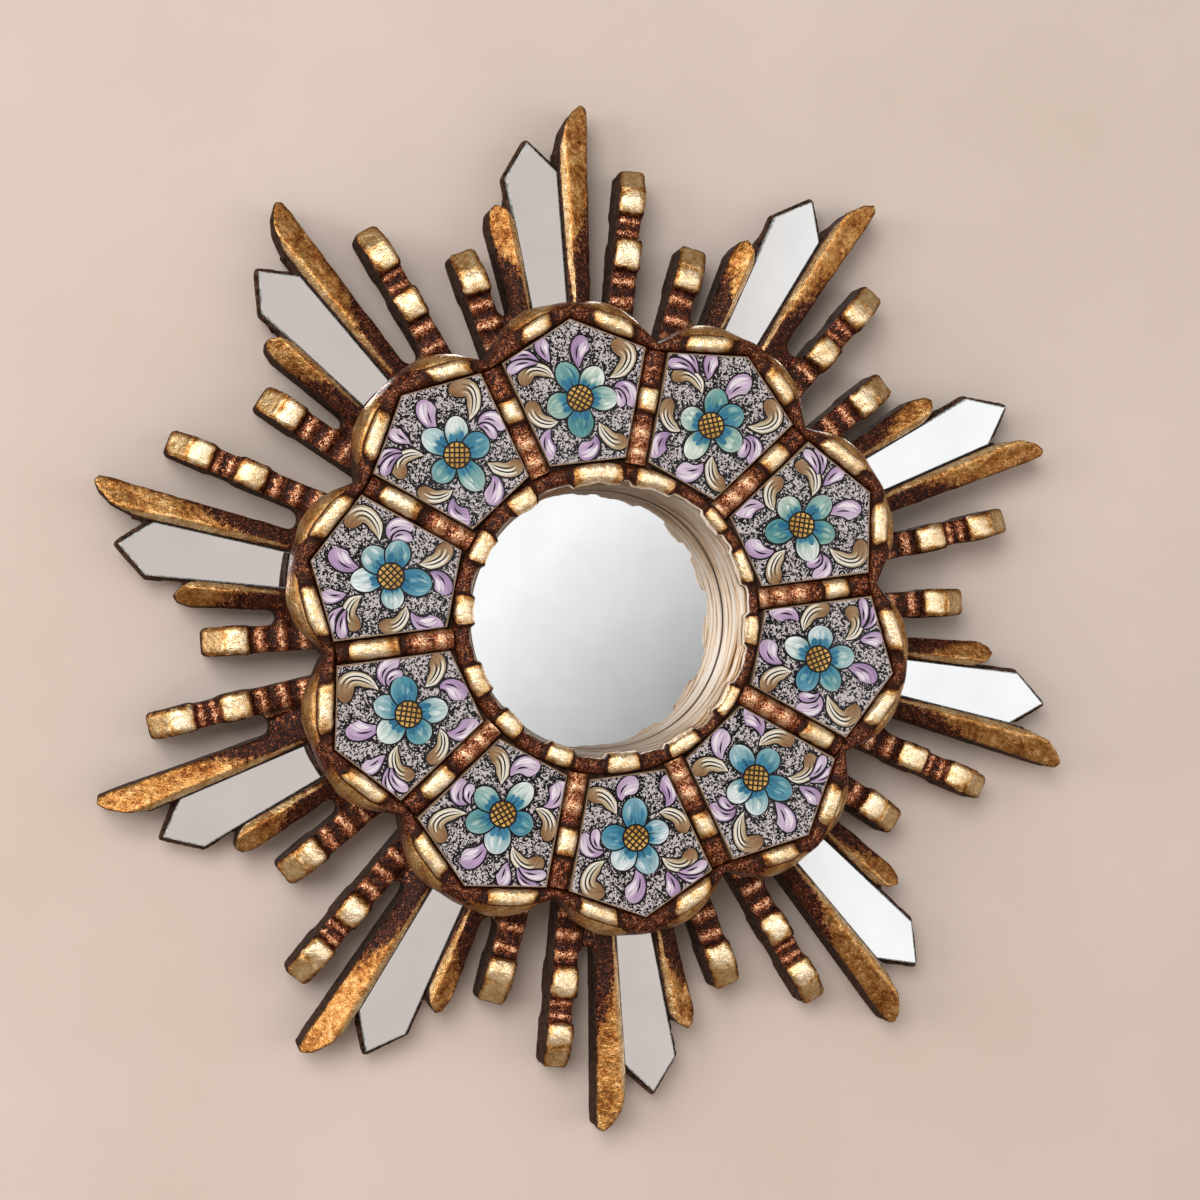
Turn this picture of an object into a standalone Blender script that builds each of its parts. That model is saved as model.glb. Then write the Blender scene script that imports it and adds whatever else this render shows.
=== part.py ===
"""Sunburst wall mirror with reverse painted glass tiles.

The part is modelled lying face up, with x to the right, y up and z out of the wall. One empty
then stands it up, so that its front looks along -Y and its back lies on the plane Y = 0.
"""
import math

import bmesh
import bpy
from mathutils import Matrix, Vector

# Fits, in metres
GAP = 0.0003
GLAZE_GAP = 0.0005
OVERCUT = 0.0010

# Repeats
UNITS = 10
RIM_BEADS = 14
PITCH = 2 * math.pi / UNITS
FIRST_TURN = math.radians(-7.4)

# Stack in the middle, from the wall outwards
PANEL_R = 0.0580
PANEL_T = 0.0030
PACKING_T = 0.0030
MIRROR_R = 0.0495
MIRROR_T = 0.0030
LINER_R = 0.0436
LINER_T = 0.0012

# Ray board
RAY_T = 0.0190
BED_T = 0.0100
STRIP_T = 0.0030

# Flower frame, its tiles and mouldings
FRAME_T = 0.0170
BORDER_H = 0.0060
BORDER_PEAK_W = 0.0048
BORDER_CORNER_W = 0.0044
BORDER_FLARE = 0.0030
BORDER_ROLL = 0.0012
BORDER_BEVEL = 0.0014
RIM_LIP = 0.0004
RIM_W = 0.0095
RIM_H = 0.0058
RIM_SCALLOP = 0.0004
BAR_W = 0.0068
BAR_H = 0.0056
TILE_T = 0.0030
TILE_SIDE = 0.0345
TILE_PEAK = 0.0120

# Rays: how far each one reaches past the flower frame, and where it stands in its unit
LONG_BLADE_OUT = 0.0681
SHORT_BLADE_OUT = 0.0369
STRIP_OUT = 0.0562
LONG_CANE_OUT = 0.0471
SHORT_CANE_OUT = 0.0273
LONG_CANE_W = 0.0092
SHORT_CANE_W = 0.0098
LONG_CANE_TURN = math.radians(12.2)
SHORT_CANE_TURN = math.radians(-13.3)
LONG_BLADE_IN = math.radians(2.7)
LONG_BLADE_EDGE = math.radians(6.4)
SHORT_BLADE_IN = math.radians(-4.3)
SHORT_BLADE_EDGE = math.radians(-8.0)
BED_MARGIN = 0.0008
STRIP_TUCK = 0.0030
PEAK_HALF = 0.0013
PEAK_FALL = 0.0012
SHORT_TIP_L = 0.0056
LONG_TIP_L = 0.0145
CANE_ROUND = 0.0012
NOTCH_L = 0.0030
ROOT_FILLET = 0.0030

# Carving of the rays
NECK_CUT = 0.0025
NECK_WAIST = 0.0006
END_DROP = 0.0060
END_FACET_L = 0.0075
BLOCK_L = 0.0080
NECK_L = 0.0082
LOW_BLOCK_L = 0.0105
CARVE_STEP = 0.0006
WAIST_STEP = 0.0010
RIDGE_IN = 0.0022
RIDGE_BEVEL = 0.0020
BLADE_FALL = 0.0038
LONG_SLOT_OUT = 0.0136
SHORT_SLOT_OUT = 0.0046
JOINT_SLOT_IN = 0.0160

# How far each hand cut unit strays from the pattern: blade turn in degrees, long and short blade
# reach in mm, then turn and reach of the long cane and of the short cane
HAND_CUTS = (
    (0.2, 0.5, 1.7, 0.3, 1.0, 0.6, -0.7),
    (0.3, 0.5, -1.3, 0.3, -1.5, 0.2, -0.7),
    (-0.7, -2.5, -0.3, -0.3, -1.5, 0.1, -0.2),
    (0.5, 0.0, -0.3, 0.2, -2.0, -0.1, -1.2),
    (0.4, 1.0, -1.3, 0.4, -0.5, 0.1, -4.2),
    (0.7, -0.5, 0.7, 0.2, -0.5, 0.1, 1.3),
    (0.2, 0.5, 0.2, -0.6, 3.5, 0.0, 1.3),
    (-0.4, 2.0, 0.2, -0.4, 0.5, -0.5, 2.3),
    (-1.0, -1.5, -1.3, -0.5, 1.5, -0.8, -0.7),
    (-0.2, 1.0, 1.7, 0.3, -1.0, 0.0, 1.8),
)

# Tacks of the back panel
TACKS = 5
TACK_HEAD_R = 0.0020
TACK_HEAD_T = 0.0008
TACK_R = 0.0007
TACK_L = 0.0100
TACK_SINK = 0.0003

# Ring hanger, in a pocket in the back of the top ray segment
WIRE_R = 0.0010
RING_W = 0.0130
RING_H = 0.0150
EYE_T = 0.0008
STRAP_W = 0.0096
STRAP_L = 0.0125
SCREW_IN = 0.0043
RING_CORNER = 0.0025
SCREW_R = 0.0014
SCREW_L = 0.0100
SCREW_HEAD_R = 0.0029
SCREW_HEAD_T = 0.0014
HANGER_CLEAR = 0.0060
POCKET_SIDE = 0.0010
POCKET_COVER = 0.0006

# Levels above the wall
PACKING_Z = PANEL_T + GAP
MIRROR_Z = PACKING_Z + PACKING_T + GAP
MIRROR_FRONT = MIRROR_Z + MIRROR_T
FRAME_Z = RAY_T + GAP
TILE_BED_Z = FRAME_Z + FRAME_T
BORDER_TOP = TILE_BED_Z + BORDER_H
FIXED_Z = TILE_BED_Z + GAP

# Radii and tile corners that follow from the sizes
HOLE_R = LINER_R + LINER_T + GAP
RIM_IN = LINER_R - RIM_LIP
RIM_OUT = RIM_IN + RIM_W
HALF = PITCH / 2
TILE_IN = RIM_OUT + GLAZE_GAP
TILE_CORNER_Y = TILE_IN + TILE_SIDE * math.cos(HALF)
TILE_PEAK_Y = TILE_CORNER_Y + TILE_PEAK
BAR_SIDE = (BAR_W / 2 + GLAZE_GAP) / math.cos(HALF)
TILE_IN_X = TILE_IN * math.tan(HALF) - BAR_SIDE
TILE_CORNER_X = TILE_CORNER_Y * math.tan(HALF) - BAR_SIDE
FLOWER_R = TILE_PEAK_Y + GLAZE_GAP + BORDER_PEAK_W
LOBE_REACH = FLOWER_R - BORDER_CORNER_W - GLAZE_GAP
LOBE_CENTRE = ((TILE_CORNER_X ** 2 + TILE_CORNER_Y ** 2 - LOBE_REACH ** 2)
               / (2 * (TILE_CORNER_Y - LOBE_REACH)))
LOBE_R = FLOWER_R - LOBE_CENTRE

# Hanger: its hinge above the middle, clear of the panel, and its levels inwards from the back
HANGER_UP = PANEL_R + HANGER_CLEAR + RING_H + WIRE_R
EYE_R = WIRE_R + GAP + EYE_T
POCKET_D = POCKET_COVER + 2 * EYE_R + GAP
HINGE_Z = POCKET_COVER + EYE_R
RING_HALF = RING_W / 2 + WIRE_R


def clear_scene():
    for item in list(bpy.data.objects):
        bpy.data.objects.remove(item, do_unlink=True)


def make_material(name, colour, metallic, roughness):
    material = bpy.data.materials.new(name)
    material.use_nodes = True
    shader = material.node_tree.nodes["Principled BSDF"]
    shader.inputs["Base Color"].default_value = (*colour, 1.0)
    shader.inputs["Metallic"].default_value = metallic
    shader.inputs["Roughness"].default_value = roughness
    return material


def add_object(name, mesh, material, turn=0.0, collection=None):
    """Put a mesh in the scene under the root, turned clockwise about the middle."""
    item = bpy.data.objects.new(name, mesh)
    if material:
        mesh.materials.clear()
        mesh.materials.append(material)
    (collection or parts).objects.link(item)
    item.parent = root
    item.rotation_euler.z = -turn
    return item


def mesh_from(name, shape):
    mesh = bpy.data.meshes.new(name)
    bmesh.ops.recalc_face_normals(shape, faces=shape.faces)
    shape.to_mesh(mesh)
    shape.free()
    return mesh


def smooth(item, angle=35):
    """Shade an object smooth, and keep the edges that are sharper than the angle."""
    shape = bmesh.new()
    shape.from_mesh(item.data)
    for face in shape.faces:
        face.smooth = True
    for edge in shape.edges:
        edge.smooth = edge.calc_face_angle(0.0) < math.radians(angle)
    shape.to_mesh(item.data)
    shape.free()


def plate(name, loops, low, high):
    """Mesh of a flat plate from one or more closed outlines, between two levels."""
    curve = bpy.data.curves.new(name, "CURVE")
    curve.dimensions = "2D"
    curve.fill_mode = "BOTH"
    curve.extrude = (high - low) / 2
    for loop in loops:
        spline = curve.splines.new("POLY")
        spline.points.add(len(loop) - 1)
        for point, place in zip(spline.points, loop):
            point.co = (place[0], place[1], 0.0, 1.0)
        spline.use_cyclic_u = True
    holder = bpy.data.objects.new(name, curve)
    bpy.context.scene.collection.objects.link(holder)
    bpy.context.view_layer.update()
    mesh = bpy.data.meshes.new_from_object(holder.evaluated_get(bpy.context.evaluated_depsgraph_get()))
    bpy.data.objects.remove(holder, do_unlink=True)
    shape = bmesh.new()
    shape.from_mesh(mesh)
    bmesh.ops.remove_doubles(shape, verts=shape.verts, dist=1e-6)
    if len(loops) == 1:
        bmesh.ops.dissolve_limit(shape, angle_limit=0.001, verts=shape.verts, edges=shape.edges)
    bmesh.ops.translate(shape, verts=shape.verts, vec=(0, 0, (low + high) / 2))
    bmesh.ops.recalc_face_normals(shape, faces=shape.faces)
    shape.to_mesh(mesh)
    shape.free()
    return mesh


def circle(radius, steps, centre=(0.0, 0.0)):
    return [(centre[0] + radius * math.cos(2 * math.pi * i / steps),
             centre[1] + radius * math.sin(2 * math.pi * i / steps)) for i in range(steps)]


def turned(name, profile):
    """Mesh of a turned piece's profile, (radius, level) points from the top axis to the bottom axis."""
    shape = bmesh.new()
    line = [shape.verts.new((radius, 0.0, level)) for radius, level in profile]
    for pair in zip(line, line[1:]):
        shape.edges.new(pair)
    mesh = bpy.data.meshes.new(name)
    shape.to_mesh(mesh)
    shape.free()
    return mesh


def turn_round(item, steps):
    """Turn a profile about its Z axis, at the place where its object stands."""
    modifier = item.modifiers.new("turn", "SCREW")
    modifier.angle = 2 * math.pi
    modifier.steps = steps
    modifier.render_steps = steps
    modifier.use_merge_vertices = True
    modifier.merge_threshold = 0.00001
    return item


def ring_loft(loops):
    """Closed ring body whose section runs through equal loops of points, one after the other."""
    shape = bmesh.new()
    first = [shape.verts.new(place) for place in loops[0]]
    edges = [shape.edges.new((first[i - 1], first[i])) for i in range(len(first))]
    start = edges
    row = first
    for loop in loops[1:]:
        made = bmesh.ops.extrude_edge_only(shape, edges=edges)["geom"]
        fresh = [item for item in made if isinstance(item, bmesh.types.BMVert)]
        keys = {vert.co.to_tuple(9): place for vert, place in zip(row, loop)}
        for vert in fresh:
            vert.co = keys[vert.co.to_tuple(9)]
        order = {Vector(place).to_tuple(9): i for i, place in enumerate(loop)}
        row = sorted(fresh, key=lambda vert: order[vert.co.to_tuple(9)])
        ring = set(fresh)
        edges = [item for item in made if isinstance(item, bmesh.types.BMEdge)
                 and item.verts[0] in ring and item.verts[1] in ring]
    bmesh.ops.bridge_loops(shape, edges=start + edges)
    return shape


def on_ray(turn, along, across=0.0):
    """Point along a ray turned clockwise from the unit axis, and across it to the right."""
    return Vector((along * math.sin(turn) + across * math.cos(turn),
                   along * math.cos(turn) - across * math.sin(turn)))


def slot_root(left, right, steps=6):
    """Half circle at the bottom of a slot, from its left wall to its right wall."""
    centre = (left + right) / 2
    arm = left - centre
    return [centre + Matrix.Rotation(math.pi * i / steps, 2) @ arm for i in range(steps + 1)]


def lobe_radius(turn, inset):
    """Radius of the flower outline at an angle from its unit axis."""
    radius = LOBE_R - inset
    reach = LOBE_CENTRE * math.cos(turn)
    return reach + math.sqrt(radius ** 2 - LOBE_CENTRE ** 2 + reach ** 2)


def tile_radius(turn, margin):
    """Radius of the tile's outer edges, pushed out by a margin, at an angle from the unit axis."""
    fall = TILE_PEAK / TILE_CORNER_X
    peak = TILE_PEAK_Y + margin * math.hypot(1.0, fall)
    return peak / (math.cos(turn) + fall * abs(math.sin(turn)))


class Unit:
    """Turns and reaches of the five rays of one hand cut unit."""

    def __init__(self, index):
        blade, long_blade, short_blade, cane, cane_out, stub, stub_out = HAND_CUTS[index % len(HAND_CUTS)]
        lean = math.radians(blade)
        self.turn = FIRST_TURN + index * PITCH
        self.strip_left = SHORT_BLADE_IN + lean
        self.strip_right = LONG_BLADE_IN + lean
        self.blade_edge = LONG_BLADE_EDGE + lean
        self.short_edge = SHORT_BLADE_EDGE + lean
        self.peak_turn = (self.strip_left + self.strip_right) / 2
        self.peak = FLOWER_R + STRIP_OUT
        self.shoulder = self.peak - (self.strip_right - self.strip_left) / 2 * self.peak * 1.15
        self.blade_tip = FLOWER_R + LONG_BLADE_OUT + long_blade / 1000
        self.short_tip = FLOWER_R + SHORT_BLADE_OUT + short_blade / 1000
        self.cane_turn = LONG_CANE_TURN + math.radians(cane)
        self.cane_end = FLOWER_R + LONG_CANE_OUT + cane_out / 1000
        self.stub_turn = SHORT_CANE_TURN + math.radians(stub)
        self.stub_end = FLOWER_R + SHORT_CANE_OUT + stub_out / 1000


def cane_stations(end, width, long_cane):
    """Half widths of a cane from the end inwards, with a waist at each neck."""
    half = width / 2
    waist = half - NECK_WAIST
    block = end - END_FACET_L - BLOCK_L
    stations = [(end, half - CANE_ROUND), (end - CANE_ROUND, half - CANE_ROUND / 4),
                (block + WAIST_STEP, half), (block - WAIST_STEP, waist)]
    if long_cane:
        upper = block - NECK_L
        lower = upper - LOW_BLOCK_L
        stations += [(upper + WAIST_STEP, waist), (upper - WAIST_STEP, half),
                     (lower + WAIST_STEP, half), (lower - WAIST_STEP, waist)]
    return stations


def segment_outline(unit):
    """Outline of one ray segment, clockwise from its left joint."""
    joint_root = lobe_radius(HALF, 0.0) - JOINT_SLOT_IN
    stub = cane_stations(unit.stub_end, SHORT_CANE_W, False)
    cane = cane_stations(unit.cane_end, LONG_CANE_W, True)
    stub_waist = SHORT_CANE_W / 2 - NECK_WAIST
    cane_waist = LONG_CANE_W / 2 - NECK_WAIST
    short_slot = FLOWER_R + SHORT_SLOT_OUT
    long_slot = FLOWER_R + LONG_SLOT_OUT
    short_w = (unit.strip_left - unit.short_edge) * unit.short_tip
    blade_w = (unit.blade_edge - unit.strip_right) * unit.blade_tip

    points = [on_ray(-HALF, HOLE_R, GAP / 2), on_ray(-HALF, joint_root, GAP / 2)]
    points += [on_ray(unit.stub_turn, joint_root + ROOT_FILLET, -stub_waist)]
    points += [on_ray(unit.stub_turn, along, -half) for along, half in reversed(stub)]
    points += [on_ray(unit.stub_turn, along, half) for along, half in stub]
    points += slot_root(on_ray(unit.stub_turn, short_slot, stub_waist), on_ray(unit.short_edge, short_slot))

    tip = unit.short_tip
    points += [on_ray(unit.short_edge, tip - SHORT_TIP_L),
               on_ray(unit.short_edge, tip - SHORT_TIP_L * 0.25, short_w * 0.16),
               on_ray(unit.short_edge, tip, short_w * 0.42),
               on_ray(unit.short_edge, tip - SHORT_TIP_L * 0.46, short_w * 0.75),
               on_ray(unit.strip_left, tip - SHORT_TIP_L, -GAP)]
    points += [on_ray(unit.strip_left, unit.shoulder, -BED_MARGIN),
               on_ray(unit.peak_turn, unit.peak - PEAK_FALL, -PEAK_HALF),
               on_ray(unit.peak_turn, unit.peak),
               on_ray(unit.peak_turn, unit.peak - PEAK_FALL, PEAK_HALF)]
    notch = unit.shoulder + NOTCH_L
    points += [on_ray(unit.strip_right, notch + NOTCH_L * 0.3, -NOTCH_L * 0.8),
               on_ray(unit.strip_right, notch - NOTCH_L * 0.2, -NOTCH_L * 0.3),
               on_ray(unit.strip_right, notch + NOTCH_L * 0.3, GAP)]
    tip = unit.blade_tip
    points += [on_ray(unit.strip_right, tip - LONG_TIP_L, GAP),
               on_ray(unit.strip_right, tip - LONG_TIP_L * 0.48, blade_w * 0.22),
               on_ray(unit.strip_right, tip - LONG_TIP_L * 0.15, blade_w * 0.52),
               on_ray(unit.strip_right, tip, blade_w * 0.80),
               on_ray(unit.blade_edge, tip - LONG_TIP_L * 0.07, -GAP),
               on_ray(unit.blade_edge, tip - LONG_TIP_L * 0.4)]
    free = [station for station in cane if station[0] > long_slot + WAIST_STEP]
    points += slot_root(on_ray(unit.blade_edge, long_slot), on_ray(unit.cane_turn, long_slot, -free[-1][1]))
    points += [on_ray(unit.cane_turn, along, -half) for along, half in reversed(free)]
    points += [on_ray(unit.cane_turn, along, half) for along, half in cane]
    points += [on_ray(unit.cane_turn, joint_root + ROOT_FILLET, cane_waist)]
    points += [on_ray(HALF, joint_root, -GAP / 2), on_ray(HALF, HOLE_R, -GAP / 2)]
    points += [on_ray(HALF - PITCH * i / 8, HOLE_R) for i in range(1, 8)]
    return points


def strip_outline(unit):
    """Outline of one mirror strip, inside its bed."""
    inset = GLAZE_GAP
    low = FLOWER_R - STRIP_TUCK
    return [on_ray(unit.strip_left, low, inset), on_ray(unit.strip_left, unit.shoulder, inset),
            on_ray(unit.peak_turn, unit.peak - BED_MARGIN - inset),
            on_ray(unit.strip_right, unit.shoulder, -inset), on_ray(unit.strip_right, low, -inset)]


def swept_cutter(name, points, length, place, axis_x):
    """Cutter with a section in the plane of axis_x and z, swept evenly to both sides of its place."""
    mesh = plate(name, [points], -length / 2, length / 2)
    axis_x = Vector((*axis_x, 0.0))
    axis_y = Vector((0.0, 0.0, 1.0))
    turn = Matrix((axis_x, axis_y, axis_x.cross(axis_y))).transposed().to_4x4()
    mesh.transform(Matrix.Translation((*place, 0.0)) @ turn)
    return mesh


def ray_cutters(unit, sky):
    """Meshes that carve the mirror bed, the two blades and the two canes of a unit."""
    low = FLOWER_R - STRIP_TUCK
    far = unit.blade_tip + OVERCUT
    bed_low = low - GLAZE_GAP
    tip = unit.short_tip
    bed = [on_ray(unit.strip_left, bed_low), on_ray(unit.strip_left, tip - SHORT_TIP_L * 1.3),
           on_ray(unit.strip_left, tip + SHORT_TIP_L * 0.5, -BED_MARGIN * 2.5),
           on_ray(unit.strip_left, far, -BED_MARGIN * 5),
           on_ray(unit.strip_right, far), on_ray(unit.strip_right, bed_low)]
    yield plate("bed_cutter", [bed], BED_T, sky)

    rise = RIDGE_BEVEL / RIDGE_IN
    ridge = RAY_T - GAP
    wide = (unit.blade_edge - unit.strip_right) * unit.blade_tip
    run = unit.blade_tip - low + OVERCUT
    blade = [(-OVERCUT, ridge - rise * (RIDGE_IN + OVERCUT)), (RIDGE_IN, ridge),
             (wide + OVERCUT, ridge - BLADE_FALL * (wide + OVERCUT) / wide), (wide + OVERCUT, sky),
             (-OVERCUT, sky)]
    yield swept_cutter("long_blade_cutter", blade, run, on_ray(unit.strip_right, low + run / 2),
                       on_ray(unit.strip_right, 0.0, 1.0))
    ridge = RAY_T - 2 * GAP
    wide = (unit.strip_left - unit.short_edge) * unit.short_tip
    run = unit.short_tip - low + OVERCUT
    blade = [(OVERCUT, ridge - rise * (RIDGE_IN + OVERCUT)), (-RIDGE_IN, ridge),
             (-wide - OVERCUT, ridge - BLADE_FALL * (wide + OVERCUT) / wide), (-wide - OVERCUT, sky),
             (OVERCUT, sky)]
    yield swept_cutter("short_blade_cutter", blade, run, on_ray(unit.strip_left, low + run / 2),
                       on_ray(unit.strip_left, 0.0, 1.0))

    for turn, end, width, long_cane in ((unit.cane_turn, unit.cane_end, LONG_CANE_W, True),
                                        (unit.stub_turn, unit.stub_end, SHORT_CANE_W, False)):
        neck = RAY_T - NECK_CUT
        over = RAY_T + CARVE_STEP
        block = end - END_FACET_L - BLOCK_L
        start = lobe_radius(turn, 0.0) - STRIP_TUCK / 2
        dips = [(start, over), (start + 2 * CARVE_STEP, neck)]
        if long_cane:
            upper = block - NECK_L
            lower = upper - LOW_BLOCK_L
            dips += [(lower - CARVE_STEP, neck), (lower + CARVE_STEP, over),
                     (upper - CARVE_STEP, over), (upper + CARVE_STEP, neck)]
        dips += [(block - CARVE_STEP, neck), (block + CARVE_STEP, over), (end - END_FACET_L, over),
                 (end + OVERCUT, RAY_T - END_DROP), (end + OVERCUT, sky), (start, sky)]
        yield swept_cutter("cane_cutter", dips, width + 6 * OVERCUT, (0.0, 0.0), on_ray(turn, 1.0))


def add_cut(item, cutter):
    modifier = item.modifiers.new(cutter.name, "BOOLEAN")
    modifier.operation = "DIFFERENCE"
    modifier.solver = "EXACT"
    modifier.object = cutter


def add_cutter(name, mesh, turn=0.0):
    item = add_object(name, mesh, None, turn, cutters)
    item.hide_render = True
    item.display_type = "WIRE"
    return item


def ring_loop(count, radius, level):
    """Closed loop of points, clockwise from the first unit's axis."""
    loop = []
    for i in range(count):
        turn = 2 * math.pi * i / count
        loop.append((*on_ray(turn, radius(turn)), level))
    return loop


def unit_turn(turn):
    """Angle from the nearest unit axis."""
    return (turn + HALF) % PITCH - HALF


def tack_place(index):
    """Middle of one of the back panel's tacks."""
    where = on_ray(FIRST_TURN + index * PITCH * (UNITS // TACKS), (MIRROR_R + PANEL_R) / 2)
    return (*where, 0.0)


def tack_profile(name, head_r, shank_r, low, shoulder, tip):
    return turned(name, [(0.0, tip), (shank_r, tip), (shank_r, shoulder), (head_r, shoulder), (head_r, low),
                         (0.0, low)])


def add_tack_holes():
    hole = tack_profile("tack_hole", TACK_HEAD_R + GAP, TACK_R + GAP, -OVERCUT,
                        TACK_SINK + TACK_HEAD_T + GAP, TACK_SINK + TACK_HEAD_T + TACK_L + GAP)
    holes = []
    for index in range(TACKS):
        item = turn_round(add_cutter(f"tack_hole_{index + 1:02d}", hole), 12)
        item.location = tack_place(index)
        holes.append(item)
    return holes


def add_ray_segments(tack_holes):
    sky = BORDER_TOP + 10 * OVERCUT
    rebates = [add_cutter("mirror_rebate", plate("mirror_rebate", [circle(MIRROR_R + GAP, 80)],
                                                 -OVERCUT, MIRROR_FRONT + GAP)),
               add_cutter("panel_rebate", plate("panel_rebate", [circle(PANEL_R + GAP, 80)],
                                                -OVERCUT, PANEL_T + GAP))]
    for index in range(UNITS):
        unit = Unit(index)
        number = f"{index + 1:02d}"
        blank = plate("ray_segment", [segment_outline(unit)], 0.0, RAY_T)
        segment = add_object(f"ray_segment_{number}", blank, carved_wood, unit.turn)
        for mesh in ray_cutters(unit, sky):
            add_cut(segment, add_cutter(f"{mesh.name}_{number}", mesh, unit.turn))
        for cutter in rebates:
            add_cut(segment, cutter)
        if index % (UNITS // TACKS) == 0:
            add_cut(segment, tack_holes[index // (UNITS // TACKS)])
        if index == 0:
            for cutter in hanger_cutters():
                add_cut(segment, cutter)
        strip = plate("ray_mirror", [strip_outline(unit)], BED_T + GAP, BED_T + GAP + STRIP_T)
        add_object(f"ray_mirror_{number}", strip, silvered_glass, unit.turn)


def add_middle(tack_holes):
    panel = add_object("back_panel", plate("back_panel", [circle(PANEL_R, 80)], 0.0, PANEL_T), hardboard)
    for hole in tack_holes:
        add_cut(panel, hole)
    add_object("packing_disc", plate("packing_disc", [circle(MIRROR_R, 64)], PACKING_Z, PACKING_Z + PACKING_T),
               packing)
    add_object("centre_mirror", plate("centre_mirror", [circle(MIRROR_R, 64)], MIRROR_Z, MIRROR_FRONT),
               silvered_glass)
    liner = plate("well_liner", [circle(LINER_R + LINER_T, 72), circle(LINER_R, 72)],
                  MIRROR_FRONT + GAP, TILE_BED_Z)
    smooth(add_object("well_liner", liner, gilt_wood))
    head = TACK_SINK + TACK_HEAD_T
    tack = tack_profile("panel_tack", TACK_HEAD_R, TACK_R, TACK_SINK, head, head + TACK_L)
    for index in range(TACKS):
        item = turn_round(add_object(f"panel_tack_{index + 1:02d}", tack, steel), 10)
        item.location = tack_place(index)


def add_flower_frame():
    count = UNITS * 12
    seat = TILE_BED_Z

    def lobes(inset, level):
        return ring_loop(count, lambda turn: lobe_radius(unit_turn(turn), inset), level)

    def tiles(margin, level):
        return ring_loop(count, lambda turn: tile_radius(unit_turn(turn), margin), level)

    loops = [lobes(0.0, FRAME_Z), lobes(BORDER_FLARE * 0.15, FRAME_Z + FRAME_T * 0.55),
             lobes(BORDER_FLARE * 0.5, seat), lobes(BORDER_FLARE, BORDER_TOP - BORDER_ROLL),
             tiles(GLAZE_GAP + BORDER_BEVEL, BORDER_TOP), tiles(GLAZE_GAP, BORDER_TOP - BORDER_BEVEL),
             tiles(GLAZE_GAP, seat), ring_loop(count, lambda turn: HOLE_R, seat),
             ring_loop(count, lambda turn: HOLE_R, FRAME_Z)]
    frame = add_object("flower_frame", mesh_from("flower_frame", ring_loft(loops)), carved_wood, FIRST_TURN)
    smooth(frame)


def add_rim():
    count = RIM_BEADS * 6

    def bead(radius, depth, level):
        return ring_loop(count, lambda turn: radius - depth * (1 + math.cos(RIM_BEADS * turn)) / 2, level)

    top = FIXED_Z + RIM_H
    loops = [bead(RIM_OUT, 0.0, FIXED_Z), bead(RIM_OUT, 0.0, top - RIM_H * 0.45),
             bead(RIM_OUT - RIM_W * 0.21, 0.0, top - RIM_H * 0.10), bead(RIM_IN + RIM_W * 0.5, 0.0, top),
             bead(RIM_IN + RIM_W * 0.23, RIM_SCALLOP, top - RIM_H * 0.12),
             bead(RIM_IN + RIM_SCALLOP, RIM_SCALLOP, top - RIM_H * 0.48),
             bead(RIM_IN + RIM_SCALLOP, RIM_SCALLOP, FIXED_Z)]
    smooth(add_object("rim_bead", mesh_from("rim_bead", ring_loft(loops)), gilt_wood, FIRST_TURN))


def add_tiles_and_bars():
    outline = [(-TILE_IN_X, TILE_IN), (-TILE_CORNER_X, TILE_CORNER_Y), (0.0, TILE_PEAK_Y),
               (TILE_CORNER_X, TILE_CORNER_Y), (TILE_IN_X, TILE_IN)]
    tile = plate("painted_tile", [outline], FIXED_Z, FIXED_Z + TILE_T)
    start = RIM_OUT + GAP
    end = tile_radius(HALF, GLAZE_GAP) - GAP
    shape = bmesh.new()
    bmesh.ops.create_cube(shape, size=1.0)
    bmesh.ops.scale(shape, verts=shape.verts, vec=(BAR_W, end - start, BAR_H))
    bmesh.ops.translate(shape, verts=shape.verts, vec=(0.0, (start + end) / 2, FIXED_Z + BAR_H / 2))
    ridge = [edge for edge in shape.edges if all(vert.co.z > FIXED_Z + BAR_H / 2 for vert in edge.verts)
             and abs(edge.verts[0].co.y - edge.verts[1].co.y) > BAR_W]
    bmesh.ops.bevel(shape, geom=ridge, offset=BAR_W * 0.36, segments=4, profile=0.5, affect="EDGES",
                    material=-1)
    bar = mesh_from("divider_bar", shape)
    for index in range(UNITS):
        turn = FIRST_TURN + index * PITCH
        add_object(f"painted_tile_{index + 1:02d}", tile, painted_glass, turn)
        smooth(add_object(f"divider_bar_{index + 1:02d}", bar, gilt_wood, turn + HALF))


def strap_outline():
    """Side view of the strap: a rolled eye with a tail that lies on the pocket floor."""
    steps = 20
    floor = EYE_R
    points = [(-STRAP_L, floor), (-STRAP_L, floor - EYE_T)]
    first = math.acos((floor - EYE_T) / EYE_R)
    last = 2 * math.pi
    for i in range(steps + 1):
        turn = first + (last - first) * i / steps
        points.append((-EYE_R * math.sin(turn), EYE_R * math.cos(turn)))
    return points


def screw_hole(name, low, high):
    """Cutter for the hanger's screw, between two levels."""
    radius = SCREW_R + GAP
    item = add_cutter(name, turned(name, [(0.0, high), (radius, high), (radius, low), (0.0, low)]))
    item.location = (0.0, HANGER_UP - STRAP_L + SCREW_IN, 0.0)
    return turn_round(item, 12)


def hanger_cutters():
    side = RING_HALF + WIRE_R + POCKET_SIDE
    low = HANGER_UP - RING_H - WIRE_R - POCKET_SIDE
    high = HANGER_UP + RING_H + WIRE_R + POCKET_SIDE
    pocket = [(-side, low), (side, low), (side, high), (-side, high)]
    yield add_cutter("hanger_pocket", plate("hanger_pocket", [pocket], -OVERCUT, POCKET_D))
    yield screw_hole("hanger_screw_hole", POCKET_D - OVERCUT, POCKET_D + SCREW_L + GAP)


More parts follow.
